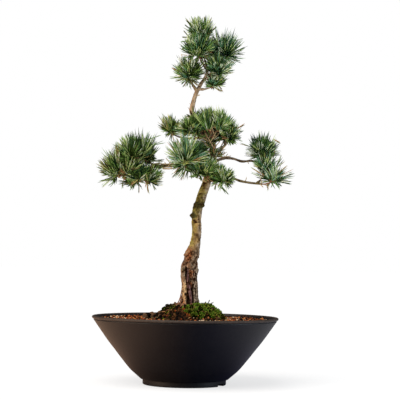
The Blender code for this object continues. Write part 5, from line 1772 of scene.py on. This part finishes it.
# %% Surface roots
SURFACE_ROOTS = (
    ((-3, -9), (-22, -26), 1.7), ((-5, -7), (-34, -15), 1.4), ((-1, -10), (-9, -34), 1.9),
    ((-4, -11), (-3, -36), 1.2), ((-6, -4), (-31, 5), 1.3), ((9, -9), (20, -33), 1.2),
    ((-5, -6), (-24, -8), 1.1), ((20, 12), (37, 30), 1.4), ((4, 14), (-7, 34), 1.3),
    ((-6, 6), (-27, 22), 1.2), ((-4, -8), (-15, -20), 1.3),
)
AIR_ROOTS = (
    ((-6, -8, 152), (-9, -9, 138), (-15, -10, 124), 0.9),
    ((-7, -9, 141), (-12, -12, 131), (-21, -14, 122), 0.8),
    ((-5, -10, 134), (-13, -14, 128), (-26, -18, 120), 0.9),
    ((-6, -10, 140), (-8, -13, 130), (-11, -16, 121), 0.8),
)
ROOT_ROWS = 26
root_skin = patchy_finish(
    "root_skin", ((0.36, 0.18, 0.10), (0.20, 0.09, 0.05), (0.05, 0.025, 0.018)),
    size=3.0, roughness=0.85, depth=0.25,
)
shells = []
for number, (start, end, radius) in enumerate(SURFACE_ROOTS):
    share = np.linspace(0, 1, ROOT_ROWS)[:, None]
    plan = np.array(start) * (1 - share) + np.array(end) * share
    wander = np.column_stack([plan, np.full(ROOT_ROWS, 40.0 * number)])
    aside = np.column_stack([ripple(wander, 9.0, 91), ripple(wander, 9.0, 92)])
    plan = plan + 3.2 * np.sin(share * math.pi) * aside
    rise = 3.6 + 1.4 * ripple(wander, 7.0, 93) - 5.0 * share[:, 0] ** 3
    line = np.column_stack([plan, mound_height(plan) + rise])
    shells.append(twig_tube(line, radius * (1 - 0.55 * share[:, 0]), 9))
for *stations, radius in AIR_ROOTS:
    line = smooth(stations, 6)
    shells.append(twig_tube(line, np.linspace(radius, radius * 0.7, len(line)), 7))
belong(lay_mesh("surface_roots", *join_shells(shells), [root_skin]), "bark")

# %% Clods and dropped needles
CLOD_COUNT = 420
# Single large clods at the left: x, y, radius and how far each is raised on the ones below it
BIG_CLODS = (
    (-60, -6, 6.0, 3.0), (-53, -3, 6.6, 3.0), (-33, 0, 4.2, 0.6), (-29, 0, 4.0, 2.2), (-41, -6, 4.0, 0.4),
    (-47, -12, 4.8, 0.0), (-17, 1, 3.8, 1.8), (-24, 2, 3.2, 1.2), (-64, -12, 5.2, 1.0), (-36, -2, 3.4, 1.6),
    (-44, -4, 4.2, 0.6),
)
LITTER_COUNT = 60
LITTER_INNER, LITTER_OUTER = 42, 118
CLODS = {
    "clod_dark": (0.006, 0.004, 0.003), "clod_brown": (0.11, 0.06, 0.032),
    "clod_mossy": (0.024, 0.028, 0.008),
}
dice = np.random.default_rng(59)
plan = np.concatenate([
    (-28, -4) + dice.normal(0, 1, (CLOD_COUNT * 2 // 3, 2)) * (14, 15),
    MOUND_CENTRE + dice.normal(0, 1, (CLOD_COUNT // 3, 2)) * (24, 22),
])
big_x, big_y, big_sizes, big_lifts = np.array(BIG_CLODS).T
sizes = np.append(dice.uniform(1.1, 2.9, len(plan)), big_sizes)
lifts = np.append(np.zeros(len(plan)), big_lifts)
plan = np.concatenate([plan, np.column_stack([big_x, big_y])])
places = np.column_stack([plan, mound_height(plan) + sizes * 0.5 + 0.6 + lifts])
clods, clod_faces = scatter_grains(places, sizes, dice)
clod_finishes = [plain_finish(name, colour, 0.95) for name, colour in CLODS.items()]
clod_slots = np.repeat(dice.choice(3, len(plan), p=(0.56, 0.28, 0.16)), 20)
belong(lay_mesh("clods", clods, clod_faces, clod_finishes, clod_slots, "flat"), "grit_soil")

plan = MOUND_CENTRE + dice.normal(0, 1, (LITTER_COUNT, 2)) * (46, 46)
off_mound = np.linalg.norm(plan - MOUND_CENTRE, axis=-1) > LITTER_INNER
plan = plan[(np.linalg.norm(plan, axis=-1) < LITTER_OUTER) & off_mound]
turn = dice.uniform(0, 2 * math.pi, len(plan))
ways = unit(np.column_stack([np.cos(turn), np.sin(turn), dice.normal(-0.08, 0.05, len(plan))]))
roots = np.column_stack([plan, mound_height(plan) + dice.uniform(1.0, 2.2, len(plan))])
lengths = dice.uniform(9, 21, len(plan))
outer = np.cross(ways, UP)
dry_tints = np.where(dice.random(len(plan)) < 0.6, DRY, OLIVE)
no_silver = np.zeros(len(plan), bool)
*litter, slots = needle_prisms(roots, ways, lengths, outer, dry_tints, no_silver, dice)
belong(lay_mesh("dropped_needles", *litter, needle_finishes, slots, "flat"), "needle_green")

# %% Moss stalks
STALKS = (
    ((36, -4), (2.5, -2, 10.5)), ((39, -7), (5, 1, 8.0)), ((33, 3), (-1, 2, 7.0)), ((30, -6), (1.5, -2, 6.0)),
)
DARK_MOSS = 2
dice = np.random.default_rng(83)
lines, leaves = [], []
for (x, y), reach in STALKS:
    foot = np.array([x, y, mound_height((x, y))])
    reach = np.array(reach, float)
    line = smooth([foot, foot + reach * (0.3, 0.3, 0.6), foot + reach], 6)
    lines.append(twig_tube(line, np.linspace(0.55, 0.3, len(line)), 6))
    roots = np.repeat(line[3:], 5, axis=0)
    ways = unit(dice.normal(0, 1, roots.shape) + UP * 0.6)
    leaves.append(spikes(roots, ways, dice.uniform(1.2, 2.4, len(roots)), np.full(len(roots), 0.42)))
points, faces = join_shells(lines + leaves)
slots = np.full(len(faces), DARK_MOSS)
belong(lay_mesh("moss_stalks", points, faces, moss_leaf_finishes, slots, "flat"), "moss_green")

# %% [markdown]
# ## Floor
#
# The floor is a wide pale sheet that isn't part of the plant. A dark glaze shows mostly what it mirrors, so
# to glossy rays alone the floor glows as a painted reflection, warm at the left and cool at the right, with
# painted shade in it near the pot's foot.

# %% Floor
FLOOR_GLOW = 0.7
FLOOR_HALF = 30
FLOOR_DROP = 0.0003
# Painted reflection: what the floor glows with to glossy rays only, left to right in metres, warm at the
# left, dark in the middle and cool at the right, which the glaze shows as its sheens
PAINTED_REFLECTION = (
    (-0.25, (1.2, 0.75, 0.5)), (-0.12, (0.85, 0.52, 0.38)), (-0.04, (0.32, 0.2, 0.17)),
    (0.02, (0.035, 0.045, 0.13)), (0.08, (0.1, 0.1, 0.22)), (0.14, (0.32, 0.31, 0.42)),
    (0.25, (0.6, 0.6, 0.64)),
)
# Painted shade in that reflection close to the pot: the span of distances from its axis, and the glow's
# strength there
REFLECTION_SHADE_SPAN, REFLECTION_SHADE_STRENGTH = (0.08, 0.17), (0.35, 1.0)


def floor_finish():
    """A matt white that glows to the camera, so that shadows stay faint, and glows to glossy rays as a
    painted reflection.
    """
    material, tree, shader = new_finish("pale_floor", 0.9, Base_Color=(0.93, 0.93, 0.95, 1.0))
    seen = add_node(tree, "LightPath")
    where = add_node(tree, "TexCoord")
    away = add_node(tree, "VectorMath", "LENGTH", at_0=where.outputs["Object"])
    reflection_shade = add_node(
        tree, "MapRange", Value=away.outputs["Value"], From_Min=REFLECTION_SHADE_SPAN[0], From_Max=REFLECTION_SHADE_SPAN[1],
        To_Min=REFLECTION_SHADE_STRENGTH[0], To_Max=REFLECTION_SHADE_STRENGTH[1],
    )
    shade = colour_ramp(tree, object_axis(tree, "X"), PAINTED_REFLECTION, PAINTED_REFLECTION[0][0], PAINTED_REFLECTION[-1][0])
    reflection_glow = add_node(tree, "Emission", Color=shade, Strength=reflection_shade.outputs["Result"])
    glow = add_node(tree, "Emission")
    share = dimmed(tree, seen.outputs["Is Camera Ray"], FLOOR_GLOW)
    lit = add_node(tree, "MixShader", at_0=share, at_1=shader.outputs[0], at_2=glow.outputs[0])
    mirrored = add_node(
        tree, "MixShader", at_0=seen.outputs["Is Glossy Ray"], at_1=lit.outputs[0], at_2=reflection_glow.outputs[0],
    )
    output = next(node for node in tree.nodes if node.type == "OUTPUT_MATERIAL")
    tree.links.new(mirrored.outputs[0], output.inputs["Surface"])
    return material


floor_mesh = bpy.data.meshes.new("floor")
corners = [(x * FLOOR_HALF, y * FLOOR_HALF, -FLOOR_DROP) for x, y in ((-1, -1), (1, -1), (1, 1), (-1, 1))]
floor_mesh.from_pydata(corners, [], [(0, 1, 2, 3)])
floor_mesh.materials.append(floor_finish())
floor = bpy.data.objects.new("floor", floor_mesh)
bpy.context.collection.objects.link(floor)
print("floor", FLOOR_HALF * 2, "m wide")
